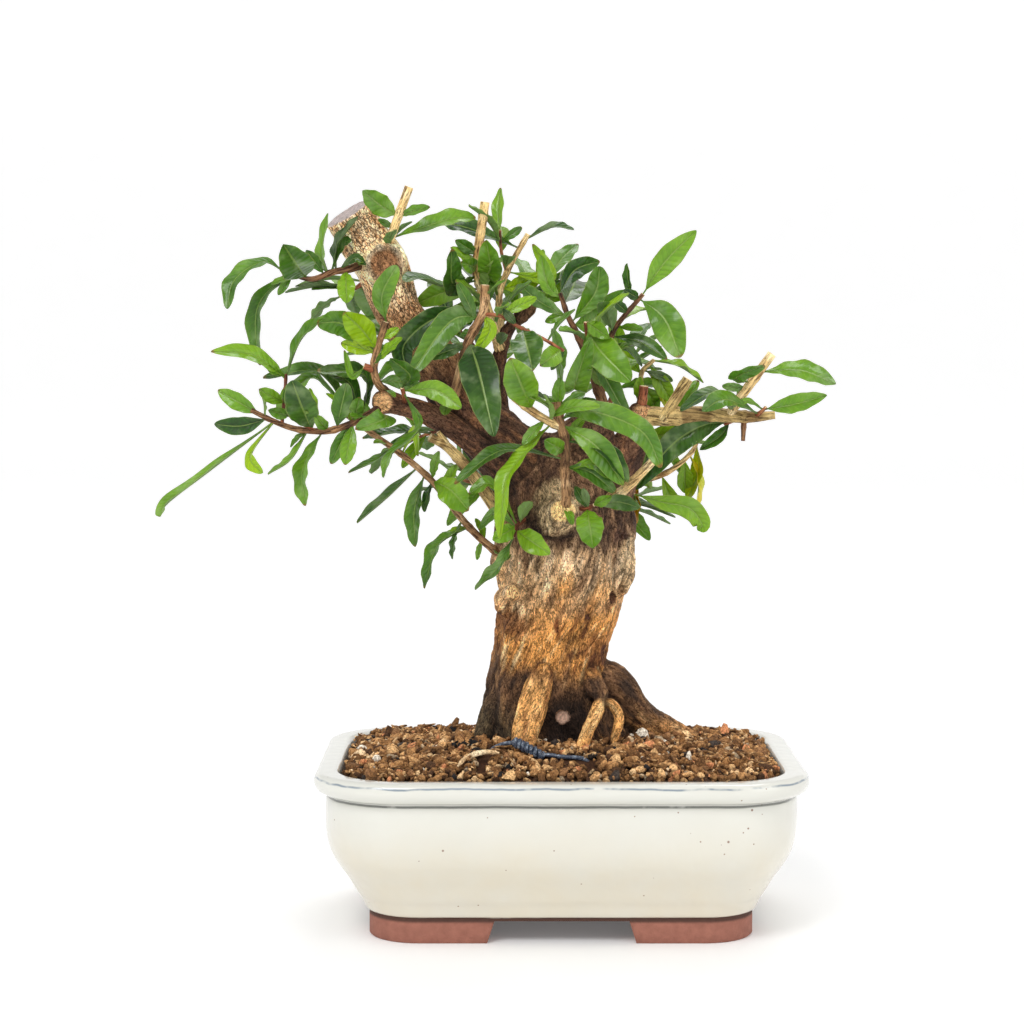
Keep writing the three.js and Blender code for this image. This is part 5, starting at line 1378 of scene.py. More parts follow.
        leaf(9, 634, 493, 607, 503),
        leaf(6, 697, 443, 698, 470, 687, 500, tone=1.05),
        leaf(8.5, 684, 459, 685, 493, tone=0.6),
        leaf(7, 660, 475, 672, 498, 686, 500, tone=0.7),
        leaf(4, 690, 454, 700, 480, 698, 511, tone=1.2),
        leaf(6, 638, 480, 636, 505, 631, 532, tone=1.9),
        leaf(7, 650, 478, 655, 455, 680, 440),
    ]),
    shoot("right_under", [
        stem(1.3, 0.9, (737, 417, 1), (732, 421, 7), (724, 424, 9)),
    ], [
        leaf(14, 728, 422, 702, 426, 671, 446, 634, 490, tone=0.05),
        leaf(6, 730, 422, 720, 436, 700, 450),
    ]),
    shoot("right_tip", [
        stem(1.1, 0.8, (756, 416, -3.5), (762, 411, -8), (766, 407, -10)),
    ], [
        leaf(9, 764, 410, 795, 404, 827, 395, tone=0.35),
        leaf(7.5, 759, 413, 716, 398, 686, 410),
        leaf(3, 763, 409, 748, 401, 738, 404),
    ]),
    shoot("right_stick", [
        stem(2.4, 2.2, (731, 413, -1.5), (735, 405, -4), (751, 383, -7), (772, 354, -10), kind="stick"),
    ], [
        leaf(9.5, 758, 373, 800, 370, 836, 384, tone=0.35),
        leaf(8, 752, 382, 736, 378, 765, 366),
        leaf(4.5, 747, 388, 722, 386),
        leaf(4, 738, 401, 712, 392, 680, 409),
    ]),
    shoot("right_yellow", [
        stem(1.5, 1, (637, 416, 12), (641, 392, 18), (642, 372, 21), (654, 360, 23), kind="olive"),
    ], [
        leaf(5.5, 645, 370, 660, 385, 666, 407, tone=1.15),
        leaf(9, 650, 364, 672, 402, tone=0.55),
        leaf(9, 641, 385, 658, 407, tone=0.5),
        leaf(4.5, 643, 370, 673, 381),
        leaf(3, 654, 361, 680, 365, 705, 381, tone=0.6),
        leaf(8, 642, 375, 628, 360, 612, 352, tone=0.65),
    ]),
    back_shoot("arm", (436, 366, 8), (415, 352, 24), (390, 340, 40)),
    back_shoot("low_left", (474, 420, 12), (445, 428, 28), (412, 440, 42)),
    back_shoot("upright", (498, 384, 16), (478, 352, 30), (452, 322, 44)),
    back_shoot("crown", (508, 334, 20), (524, 304, 34), (545, 282, 48)),
    back_shoot("right_crown", (604, 420, 8), (616, 386, 26), (630, 352, 42)),
    back_shoot("shoulder", (628, 446, 14), (650, 442, 30), (672, 432, 46)),
    back_shoot("middle", (562, 452, 24), (562, 418, 40), (558, 380, 54)),
    back_shoot("stump", (379, 266, 6), (362, 284, 20), (340, 296, 32)),
    back_shoot("trunk_right", (588, 486, 30), (604, 500, 46), (622, 508, 56)),
    back_shoot("trunk_left", (512, 500, 28), (486, 488, 42), (458, 478, 52)),
]


# ---------------------------------------------------------------- shoots, as they are made


def nearest_root(paths, across, down):
    """The place on the stems' drawn lines, in eighths of each span, that is nearest on the sheet."""
    eighths = np.linspace(0, 1, 9)[None, :, None]
    spans = [path[:-1, None] + (path[1:] - path[:-1])[:, None] * eighths for path in paths]
    spans = np.vstack([span.reshape(-1, 4) for span in spans])
    return spans[np.argmin(np.hypot(spans[:, 0] - across, spans[:, 1] - down)), :3]


def blade_normal(along, roll):
    """The upper face of a blade: turned from the front view up towards the sky by the roll."""
    front = np.array([0.0, -1.0, 0.0])
    front = unit(front - front.dot(along) * along)
    sky = np.cross(along, front)
    sky = -sky if sky[2] < 0 else sky
    return front * math.cos(roll) + sky * math.sin(roll)


def drawn_leaf(width, places, paths, draw):
    """A drawn leaf set in space. One that looks too round points at or away from the eye, and one
    that looks too narrow is rolled about its midrib."""
    lean = draw(-0.35, 0.35)
    root = nearest_root(paths, *places[0])
    behind = root[2]
    foot = sheet(root)
    flat = np.linalg.norm(sheet((*places[-1], behind)) - foot)
    outward = -1 if behind < 4 else 1
    depth = flat * (lean + 0.2 * outward)
    if width > ROUNDEST * flat:
        length = min(width / ROUNDEST, LONGEST_BLADE)
        depth = outward * math.sqrt(max(length ** 2 - flat ** 2, 0))
    share = np.linspace(0, 1, len(places))[1:]
    points = np.vstack([foot, sheet(np.column_stack([places[1:], behind + depth * share]))])
    length = np.linalg.norm(points[-1] - foot)
    full = max(width, min(SLENDERNESS * length, USUAL_WIDTH))
    return points, full, blade_normal(unit(points[-1] - foot), math.acos(width / full))


def rule_leaves(path, draw):
    """Leaves on alternate sides of a stem, swept back and outwards, and one at the tip."""
    order = np.arange(BACK_LEAVES)
    line = sheet(path[:, :3])
    feet, directions = curve_at(line, (0.4 + 0.58 * order / (BACK_LEAVES - 1)) * (len(line) - 1))
    up = np.array([0.0, 0.0, 1.0])
    found = []
    for number, foot, along in zip(order, feet, directions):
        side = unit(np.cross(along, up))
        last = number == BACK_LEAVES - 1
        spread = 0 if last else (1 if number % 2 else -1) * draw(0.9, 1.4)
        way = unit(along + side * spread + up * draw(-0.5, 0.6))
        length = draw(27, 39)
        normal = up + side * draw(-0.5, 0.5)
        normal = unit(normal - normal.dot(way) * way)
        found.append((np.vstack([foot, foot + way * length]), length * draw(0.28, 0.36), normal))
    return found


def turned(vectors, axis, degrees):
    """Vectors turned about an axis: the part along it stays, and the rest swings by the angle."""
    angle = math.radians(degrees)
    held = (vectors @ axis)[..., None] * axis
    return held + (vectors - held) * math.cos(angle) + np.cross(axis, vectors) * math.sin(angle)


def bent_leaf(points, width, normal, bend):
    """A leaf swung about the line of sight and dipped about its own level line, about its foot."""
    swing, dip, length = bend
    back = np.array([0.0, 1.0, 0.0])
    level = unit(np.cross(unit(points[-1] - points[0]), back))
    moved = turned(turned(points - points[0], back, swing), level, dip) * length + points[0]
    return moved, width * length, turned(turned(normal[None], back, swing), level, dip)[0]


def fitted_leaf(shape, corners):
    """The leaf bent as its CAD solid is: the first bend whose tip is a corner of the solid. It is
    None for a leaf that found no room there."""
    for bend in BENDS:
        moved = bent_leaf(*shape, bend)
        if np.min(np.linalg.norm(corners - moved[0][-1], axis=1)) < MATCH:
            return moved
    return None


def half_widths(body, width, random):
    """Half the width along a blade: a quarter sine wave up to the widest place, and from there a
    quarter cosine wave, whose power of about a half makes the tip blunt."""
    widest = random.uniform(0.46, 0.60)
    foot = np.sin(math.pi / 2 * np.minimum(body / widest, 1)) ** random.uniform(0.9, 1.15)
    tip = np.cos(math.pi / 2 * np.clip((body - widest) / (1 - widest), 0, 1)) ** random.uniform(0.44, 0.68)
    return (width / 2) * foot * tip


def blade(shape, fitted, tone, seed, settings, rows=BLADE_ROWS):
    """One leaf: a closed sheet whose upper and under side meet at the edges.

    Its midrib is the curve through its places, arched if it has only two. The edges rise over the
    midrib by a power of the place across, wave along it in height and a little in width, and the
    tip curls as the cube of the way along. The thickness falls from the midrib to the edges.
    """
    points, width, normal = fitted
    random = np.random.default_rng(seed)
    if len(points) == 2:
        arch = normal * BLADE_ARCH * np.linalg.norm(points[1] - points[0])
        points = np.vstack([points[0], (points[0] + points[1]) / 2 + arch, points[1]])
    share = np.concatenate([[0, 0.02, 0.045], np.linspace(0.075, 0.94, rows - 6), [0.965, 0.985, 0.997]])
    line = curve_at(points, share * (len(points) - 1))[0]
    along = unit(np.gradient(line, axis=0))
    face = unit(normal - (along @ normal)[:, None] * along)[:, None]
    side = np.cross(along, face[:, 0])[:, None]
    length = travelled(line)[-1]
    share = share[:, None]
    body = np.clip((share - STALK) / (1 - STALK), 0, 1)
    half = np.maximum(half_widths(body, width, random), STALK_RADIUS * np.where(share < 0.9, 1, 0.25))
    t = BLADE_ACROSS[None]
    ripple = random.uniform(0.25, 1.0) * settings.leaf_wave * min(width / USUAL_WIDTH, 1.2)
    waves = random.uniform(2.2, 4.2)
    starts = random.uniform(0, 6, 2)
    wave = ripple * np.sin(2 * math.pi * waves * share + np.where(t > 0, *starts)) * t ** 2
    wave = wave * blend(share, 0.08, 0.3) * blend(share, 1.0, 0.85)
    fold = settings.leaf_fold * random.uniform(0.6, 1.3)
    curl = random.uniform(-0.025, 0.04) * length * body ** 3
    rise = half * (fold * np.abs(t) ** 1.25 - 0.10 * bell(t, 0.1)) + wave - curl
    reach = half * t * (1 + 0.032 * np.sin(2 * math.pi * (waves * 1.3 * share + starts[1])))
    upper = line[:, None] + side * reach[..., None] + face * rise[..., None]
    thick = settings.leaf_thickness * (1 - 0.75 * t ** 2) + 0.5 * bell(t, 0.13) * (1 - 0.75 * share)
    thick = np.maximum(thick, np.where(share < 0.06, 2 * STALK_RADIUS * np.sqrt(1 - t ** 2), 0))
    lower = upper - face * thick[..., None]
    ring = np.concatenate([upper, lower[:, -2:0:-1]], axis=1)
    across = np.concatenate([BLADE_ACROSS, BLADE_ACROSS[-2:0:-1]])
    columns = len(across)
    count = rows * columns
    under = np.arange(columns) >= len(BLADE_ACROSS)
    faces = [grid_faces(rows, columns, wrap=True), np.arange(columns)[::-1][None],
             np.arange(count - columns, count)[None]]
    place = np.stack([np.tile(across, rows), np.repeat(share, columns), np.full(count, length)], -1)
    shape.add(ring.reshape(-1, 3), faces, blade=place, under=np.tile(under, rows), tone=tone)


def small_leaves(line, random, kind, dense):
    """Young leaves round a stem, each a golden turn on from the last and swept towards its tip.

    They are longer and closer where the stem is dense with them. Pruned sticks are bare above
    their lower half. A leaf that would end in the wood is left out.
    """
    along, normal, side = frames_along(line)
    count = int(travelled(line)[-1] / (CROWN_SPACING if dense else STEM_SPACING))
    found = []
    for number in range(count):
        share = (number + random.uniform(0.3, 0.9)) / count * (0.5 if kind == "stick" else 0.97)
        row = int(share * (len(line) - 1))
        turn = GOLDEN_TURN * number + random.uniform(-0.5, 0.5)
        out = math.cos(turn) * normal[row] + math.sin(turn) * side[row]
        way = 0.6 * along[row] + random.uniform(0.8, 1.4) * out
        way = unit(way + np.array([0, 0, random.uniform(-0.2, 0.5)]))
        length = random.uniform(16, 33) if dense else random.uniform(11, 23)
        face = np.array([0, -0.35, 1.0]) + 0.6 * out
        face = unit(face - face.dot(way) * way)
        reach = line[row] + way * length * np.array([[0], [0.5], [1]])
        if not inside_wood(reach[1:], -2.5, LIMBS[STUMP - 1:]).any():
            found.append((reach[[0, 2]], length * random.uniform(0.28, 0.4), face))
    return found


def add_shoot(number, plan, bark, leaf_finish, settings):
    """One leafy shoot: its stems as twigs, its leaves placed as in its CAD solid, and small leaves.

    Gives how many leaves found no room in the solid.
    """
    name, stems, leaves = plan
    draw = Draws(100 + number)
    corners = mesh_points(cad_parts[name].data)
    if leaves is None:
        placed = [(*one, None) for one in rule_leaves(stems[0][0], draw)]
    else:
        paths = [path for path, _ in stems]
        placed = [(*drawn_leaf(width, places, paths, draw), tone) for width, places, tone in leaves]
    green, twigs = Shape(), Shape()
    left_out = 0
    for order, (*one, tone) in enumerate(placed):
        fitted = fitted_leaf(one, corners)
        if fitted is None:
            left_out += 1
            continue
        if tone is None:
            tone = np.random.default_rng(1000 * number + order).uniform(0.02, 0.46)
        blade(green, fitted, tone, 1000 * number + order + 7, settings)
    for order, (path, kind) in enumerate(stems):
        line, radii = limb_line(path, 0.9)
        random = np.random.default_rng(5000 + 10 * number + order)
        for one in small_leaves(line, random, kind, "crown" in name or "back" in name):
            blade(green, one, random.uniform(0.04, 0.72), int(random.integers(1 << 20)), settings, SMALL_ROWS)
        twig(twigs, line, radii, kind, number * 3 + order)
    settle(green.build(name + "_leaves", leaf_finish), "leafy_shoot", name)
    settle(twigs.build(name + "_stems", bark), "leafy_shoot", name)
    return left_out


# ---------------------------------------------------------------- finishes


class Field:
    """What a node gives at each place on a surface: a number, a vector or a colour. Sums and
    products of numbers are nodes too."""

    def __init__(self, finish, socket):
        self.finish, self.socket = finish, socket

    def __add__(self, other):
        return self.finish.do("ADD", self, other)

    def __sub__(self, other):
        return self.finish.do("SUBTRACT", self, other)

    def __mul__(self, other):
        return self.finish.do("MULTIPLY", self, other)

    def __abs__(self):
        return self.finish.do("ABSOLUTE", self)


class Finish:
    """A material around one Principled shader. Most calls add a node and give its output."""

    def __init__(self, name):
        self.material = bpy.data.materials.new(name)
        self.material.use_nodes = True
        self.tree = self.material.node_tree

    def fill(self, node, inputs):
        """Links the inputs that are given a field, and sets the others to their constants."""
        for key, value in inputs.items():
            if isinstance(value, Field):
                self.tree.links.new(value.socket, node.inputs[key])
            else:
                node.inputs[key].default_value = value

    def put(self, kind, inputs, output=0, **options):
        """Adds a node of that kind with its options and inputs, and gives one output."""
        node = self.tree.nodes.new("ShaderNode" + kind)
        for key, value in options.items():
            setattr(node, key, value)
        self.fill(node, inputs)
        return Field(self, node.outputs[output])

    def place(self):
        """Object coordinates, in metres."""
        return self.put("TexCoord", {}, "Object")

    def value(self, name, output="Vector"):
        """A value stored at the mesh's points."""
        return self.put("Attribute", {}, output, attribute_name=name)

    def parts(self, vector):
        """The three parts of a vector."""
        first = self.put("SeparateXYZ", {0: vector})
        return [first] + [Field(self, first.socket.node.outputs[number]) for number in (1, 2)]

    def vector(self, operation, *inputs, output=0):
        """Arithmetic on vectors."""
        return self.put("VectorMath", dict(enumerate(inputs)), output, operation=operation)

    def noise(self, vector, scale, detail=3.0, rough=0.55):
        """Noise from 0 to 1 at so many waves for each unit of the vector."""
        inputs = {"Vector": vector, "Scale": scale, "Detail": detail, "Roughness": rough}
        return self.put("TexNoise", inputs, "Fac")

    def cells(self, vector, scale):
        """Scattered cells: the distance to their edges, and three numbers that each cell keeps."""
        inputs = {"Vector": vector, "Scale": scale}
        edge = self.put("TexVoronoi", inputs, "Distance", feature="DISTANCE_TO_EDGE")
        return edge, self.parts(self.put("TexVoronoi", inputs, "Color"))

    def do(self, operation, first, second=0.0):
        """Arithmetic on two numbers."""
        return self.put("Math", {0: first, 1: second}, operation=operation)

    def span(self, value, low, high, start=0.0, end=1.0):
        """The value's smooth way from low to high, as start to end."""
        inputs = {"Value": value, "From Min": low, "From Max": high, "To Min": start, "To Max": end}
        return self.put("MapRange", inputs, interpolation_type="SMOOTHSTEP")

    def tint(self, share, first, second, how="MIX"):
        """Two colours mixed or multiplied by a share. Each is a field or a plain colour."""
        first, second = (tone if isinstance(tone, Field) else (*tone, 1.0) for tone in (first, second))
        return self.put("Mix", {0: share, 6: first, 7: second}, 2, data_type="RGBA", blend_type=how)

    def scaled(self, tone, *factors):
        """A colour with its red, green and blue multiplied by the three factors."""
        return self.tint(1.0, tone, factors, "MULTIPLY")

    def ramp(self, value, stops):
        """A colour read off a row of stops, each a place and a colour as it is seen."""
        ramp = self.put("ValToRGB", {0: value})
        elements = ramp.socket.node.color_ramp.elements
        while len(elements) < len(stops):
            elements.new(0.5)
        for element, (place, shade) in zip(elements, stops):
            element.position, element.color = place, (*colour(*shade), 1.0)
        return ramp

    def bump(self, height, distance, **below):
        """Raises the surface by the height times the distance, in metres, over a bump below."""
        return self.put("Bump", {"Height": height, "Distance": distance, "Strength": 1.0, **below}, "Normal")

    def done(self, **sockets):
        """Fills the shader's own sockets and gives the material."""
        inputs = {key.replace("_", " "): value for key, value in sockets.items()}
        self.fill(self.tree.nodes["Principled BSDF"], inputs)
        return self.material


# Brown specks in the glaze, on the front of the pot: across, down and radius in millimetres.
SPECKS = [
    (752, 810, 0.7), (748, 828, 0.6), (743, 832, 0.5), (728, 841, 0.8), (721, 844, 0.4), (443, 850, 0.7),
    (554, 850, 0.5), (654, 880, 0.6), (506, 871, 0.4), (333, 825, 0.4), (419, 861, 0.35), (639, 892, 0.4),
]
SPECK_DEPTH = -80.0

# Lines where the glaze is worn along the wall, and painted shade in the groove under the rim: half width
# in millimetres, colour, strength, how far the line wanders and the noise under which it breaks off.
GLAZE_LINES_AND_GROOVE_SHADE = {
    "groove": (0.8, (70, 74, 68), 0.85, 0.8, 0.2),
    "rim_line": (0.6, (112, 128, 142), 0.85, 2.4, 0.34),
    "inner_line": (0.6, (104, 116, 126), 0.55, 0.8, 0.34),
}
GLAZE_END_HEIGHT = 0.0112  # no glaze below, in metres


def glaze_material(settings, marks):
    """Ivory glaze, thin and grey-blue where it breaks over edges and with painted shade in the groove under
    the rim, over a bare terracotta foot.

    The marks are places along the wall, which the pot's own value "path" is compared with.
    """
    finish = Finish("ivory_glaze")
    place = finish.place()
    path = finish.value("path", "Fac")
    height = finish.parts(place)[2]
    wander = finish.noise(place, 55.0, 2.0) - 0.5
    cream = finish.tint(finish.noise(place, 22.0), colour(212, 210, 199), settings.glaze_colour)
    warm = finish.span(height, 0.072, 0.030) * finish.noise(place, 30.0, 4.0)
    cream = finish.tint(warm * 0.75, cream, colour(220, 204, 170))
    pinholes = finish.put("TexVoronoi", {"Vector": place, "Scale": 120.0}, "Distance")
    cream = finish.tint(finish.span(pinholes, 0.06, 0.035) * 0.75, cream, colour(132, 96, 64))
    for across, down, radius in SPECKS:
        middle = (sheet((across, down, SPECK_DEPTH)) + POT_MIDDLE) / 1000
        offset = finish.vector("SUBTRACT", place, middle.tolist())
        gap = finish.vector("LENGTH", finish.vector("MULTIPLY", offset, (1.0, 0.12, 1.0)), output="Value")
        mask = finish.span(gap, radius * 0.0011, radius * 0.0005)
        cream = finish.tint(mask * 0.8, cream, colour(120, 76, 46))
    # The groove's dark line is painted shade; the rim and inner lines are worn glaze.
    for name, (width, shade, strength, reach, low) in GLAZE_LINES_AND_GROOVE_SHADE.items():
        line = finish.span(abs(path + wander * reach - marks[name]), width * 1.3, width * 0.3)
        broken = finish.span(finish.noise(place, 75.0), low, low + 0.22)
        cream = finish.tint(line * broken * strength, cream, colour(*shade))
    clay = finish.tint(finish.noise(place, 260.0, 4.0), colour(126, 80, 66), colour(172, 112, 94))
    clay = finish.tint(finish.span(height, 0.0095, GLAZE_END_HEIGHT), clay, colour(78, 50, 40))
    start = marks["glaze_end"]
    glazed = finish.span(path + wander * 2.2, start - 0.35, start + 0.35)
    glazed = glazed * finish.do("GREATER_THAN", height, GLAZE_END_HEIGHT)
    gritty = finish.bump(finish.noise(place, 900.0), 0.00035)
    soft = finish.bump(finish.noise(place, 60.0, 2.0), 0.0006)
    return finish.done(
        Base_Color=finish.tint(glazed, clay, cream), Roughness=finish.span(glazed, 0.0, 1.0, 0.85, 0.22),
        Normal=finish.put("Mix", {0: glazed, 4: gritty, 5: soft}, 1, data_type="VECTOR"),
        Coat_Weight=glazed * 0.6, Coat_Roughness=0.08)


@functools.cache
def grain_material():
    """Dry mineral granules: each one's own colour, mottled, and rough all over."""
    finish = Finish("granular_soil")
    place = finish.place()
    tone = finish.value("tone")
    mottle = finish.noise(place, 900.0, 4.0, 0.65)
    dark, light = finish.scaled(tone, 0.5, 0.45, 0.4), finish.scaled(tone, 1.55, 1.5, 1.42)
    return finish.done(
        Base_Color=finish.tint(finish.span(mottle, 0.35, 0.68), dark, light),
        Roughness=finish.span(mottle, 0.3, 0.7, 0.8, 0.98), Specular_IOR_Level=0.25,
        Normal=finish.bump(finish.noise(place, 1700.0), 0.0003))


def bark_material(settings):
    """Bark and bare wood: the colour worked out at each point, broken into plates and fine scales.

    Both are cells in the wood's own coordinates, stretched along it and warped by noise. The
    distance to a cell's edge gives the dark gaps, and each cell has its own brightness. Sawn
    faces, where the value "plates" is below zero, keep the plain colour.
    """
    finish = Finish("weathered_bark")
    grain = finish.value("grain")
    tone = finish.value("tone")
    plates = finish.value("plates", "Fac")
    run = finish.vector("MULTIPLY", grain, (1.0, 1.0, 2.7))
    warp = finish.put("TexNoise", {"Vector": run, "Scale": 0.5, "Detail": 3.0}, "Color")
    warp = finish.vector("SUBTRACT", warp, (0.5, 0.5, 0.5))
    warped = finish.vector("MULTIPLY_ADD", warp, (2.6, 2.6, 2.6), run)
    plate_edge, plate_parts = finish.cells(warped, 0.85)
    scale_edge, scale_parts = finish.cells(warped, 1.35)
    plate = finish.span(plate_edge - finish.noise(run, 0.8) * 0.22, -0.15, 0.09)
    scale = finish.span(scale_edge, 0.0, 0.16)
    fibre = finish.noise(grain, 1.3, 4.0, 0.65)
    speckle = finish.noise(finish.place(), 1250.0, 3.0, 0.65)
    scaly = scale * 0.45 + scale_parts[1] * 0.75
    plated = plate * (plate_parts[0] * 0.5 + 0.75)
    broken = finish.put("Mix", {0: plates, 2: scaly, 3: plated}, data_type="FLOAT")
    height = broken * 0.65 + (fibre * 0.6 + speckle * 0.4) * 0.9
    rust = finish.span(plate_parts[1], 0.45, 0.9) * (plates * 0.6)
    tone = finish.tint(rust, tone, finish.scaled(tone, 0.9, 0.6, 0.38))
    # Low places go darker and high ones lighter: the bark's own contrast, with painted shade in its gaps and
    # painted highlights on its ridges.
    dark, light = finish.scaled(tone, 0.25, 0.22, 0.19), finish.scaled(tone, 2.0, 2.0, 1.95)
    tinted = finish.tint(finish.span(height, 0.48, 1.18), dark, light)
    return finish.done(
        Base_Color=finish.tint(finish.span(plates, -0.2, -0.8, 0.0, 0.8), tinted, tone),
        Roughness=finish.span(height, 0.5, 1.2, 0.92, 0.66), Specular_IOR_Level=0.3,
        Normal=finish.bump(height, settings.bark_grain))


@functools.cache
def twig_material():
    """Twigs: the colour worked out at each point, with dark fibres and short cracks along them."""
    finish = Finish("ridged_twig")
    grain = finish.value("grain")
    tone = finish.value("tone")
    fibre = finish.noise(grain, 1.9, 4.0, 0.6)
    crack = finish.span(finish.noise(grain, 0.8, 3.0, 0.6), 0.36, 0.5)
    speckle = finish.noise(finish.place(), 1250.0, 3.0, 0.65)
    height = (fibre * 0.7 + speckle * 0.3) * (crack * 0.35 + 0.75)
    dark, light = finish.scaled(tone, 0.24, 0.19, 0.16), finish.scaled(tone, 1.5, 1.5, 1.5)
    return finish.done(
        Base_Color=finish.tint(finish.span(height, 0.32, 0.62), dark, light),
        Roughness=finish.span(height, 0.3, 0.6, 0.85, 0.6), Specular_IOR_Level=0.3,
        Normal=finish.bump(height, 0.0004))


# Greens of a leaf from dark to orange, each with its place on the way.
LEAF_GREENS = [
    (0.0, (34, 62, 18)), (0.12, (71, 110, 28)), (0.22, (103, 144, 32)), (0.36, (127, 164, 22)),
    (0.48, (142, 174, 8)), (0.62, (198, 188, 30)), (0.95, (236, 158, 20)),
]


def leaf_material(settings):
    """A waxy leaf: greens by its own tone, pale veins, a thin light edge, pale patches that are partly waxy
    bloom and partly painted sheen, and a duller underside.

    The value "blade" holds the place across it from -1 to 1, the share along it and its length in
    millimetres. A vein is where 0.3 times the millimetres along, less 1.5 times the place across
    to the 0.85, is a half more than a whole number. The two sides' veins are set off by 0.42.
    """
    finish = Finish("waxy_leaf")
    place = finish.place()
    side, share, length = finish.parts(finish.value("blade"))
    across = abs(side)
    under = finish.value("under", "Fac")
    tone = finish.value("tone", "Fac") * 0.5
    drift = (finish.noise(place, 60.0, 4.0) - 0.5) * 0.3
    green = finish.ramp(tone + drift, LEAF_GREENS)
    mottle = finish.span(finish.noise(place, 420.0), 0.3, 0.75, 0.0, 0.3)
    green = finish.tint(mottle, green, finish.scaled(green, 1.5, 1.35, 1.2))
    sweep = share * length * 0.30 - finish.do("POWER", across, 0.85) * 1.5
    sweep = sweep + finish.do("SIGN", side) * 0.21
    line = abs(finish.do("FRACT", sweep) - 0.5)
    vein = finish.span(line, 0.11, 0.02) * finish.span(across, 0.98, 0.55)
    midrib = finish.span(across, 0.09, 0.03)
    # Pale patches, partly waxy bloom and partly painted sheen, fade out on the brighter leaves.
    bloom_and_sheen = finish.span(finish.noise(place, 85.0, 3.0, 0.6), 0.48, 0.7) * finish.span(tone, 0.34, 0.12)
    scorch = finish.span(share, 0.955, 0.985) * finish.span(finish.noise(place, 24.0, 1.0), 0.5, 0.56)
    tinted = finish.tint(vein * 0.24, green, finish.scaled(green, 1.9, 1.7, 1.5))
    tinted = finish.tint(midrib * 0.5, tinted, colour(156, 182, 92))
    tinted = finish.tint(finish.span(across, 0.94, 1.0, 0.0, 0.55), tinted, colour(168, 182, 84))
    tinted = finish.tint(scorch * 0.85, tinted, colour(134, 92, 44))
    tinted = finish.tint(bloom_and_sheen * 0.26, tinted, colour(176, 196, 140))
    dull = finish.tint(0.5, tinted, settings.underside_colour)
    sheen = finish.span(finish.noise(place, 240.0), 0.3, 0.7, 0.3, 0.48)
    quilt = finish.bump(line + midrib * -0.6, 0.0005)
    return finish.done(
        Base_Color=finish.tint(under, tinted, dull), Roughness=sheen + under * 0.2,
        Normal=finish.bump(finish.noise(place, 1500.0, 2.0), 0.00005, Normal=quilt),
        Coat_Weight=finish.span(under, 0.0, 1.0, 0.4, 0.0), Coat_Roughness=0.13, Specular_IOR_Level=0.14,
        Subsurface_Weight=0.12, Subsurface_Scale=0.002, Subsurface_Radius=(0.5, 1.0, 0.2))


def wire_material():
    """Dark blue-black coated wire, paler in patches that are partly scuffs and partly painted highlights."""
    finish = Finish("coated_wire")
    place = finish.place()
    # Pale patches: partly scuffs, partly painted highlights.
    scuff_and_glint = finish.span(finish.noise(place, 700.0, 4.0, 0.65), 0.48, 0.68)
    return finish.done(
        Base_Color=finish.tint(scuff_and_glint * 0.7, colour(50, 62, 82), colour(164, 178, 192)),
        Roughness=finish.span(scuff_and_glint, 0.0, 1.0, 0.32, 0.6), Coat_Weight=0.6, Coat_Roughness=0.15,
        Normal=finish.bump(finish.noise(place, 2200.0, 2.0), 0.0001))


def screen_material():
    """Moulded plastic with a faint grain."""
    finish = Finish("moulded_screen")
    grain = finish.noise(finish.place(), 900.0)
    return finish.done(
        Base_Color=finish.tint(grain, colour(34, 38, 36), colour(62, 68, 64)),
        Roughness=finish.span(grain, 0.3, 0.7, 0.5, 0.7), Normal=finish.bump(grain, 0.0002))


# ---------------------------------------------------------------- stage

FLAT_FLOOR, FLOOR_CURVE, FLOOR_WALL = 6000, 5000, 3200  # reach, run of the curve and height in millimetres
FLOOR_SIDES = 96
LENS, FILM = 85, 36
LIT_HEIGHT = 200

# Lamps as place from the middle of the tree in metres, size, and power as a share of the key's.
LAMPS = {
    "key": ((-0.62, -1.3, 1.3), 0.8, 1), "fill": ((1.3, -0.9, 0.8), 1.2, 0.35),
    "crown": ((0.2, 0.9, 1.5), 0.8, 0.5),
}


def floor_material(settings):
    """Pale paper that gives a little light of itself, more at its far wall."""
    finish = Finish("pale_paper")
    place = finish.place()
    fibre = finish.noise(place, 9.0)
    far = finish.vector("LENGTH", place, output="Value")
    return finish.done(
        Base_Color=finish.tint(fibre, colour(238, 238, 238), colour(246, 246, 246)),
        Roughness=finish.span(fibre, 0.2, 0.8, 0.55, 0.65), Emission_Color=(1.0, 1.0, 1.0, 1.0),
        Emission_Strength=finish.span(far, 0.5, 2.4, settings.floor_glow, settings.wall_glow))


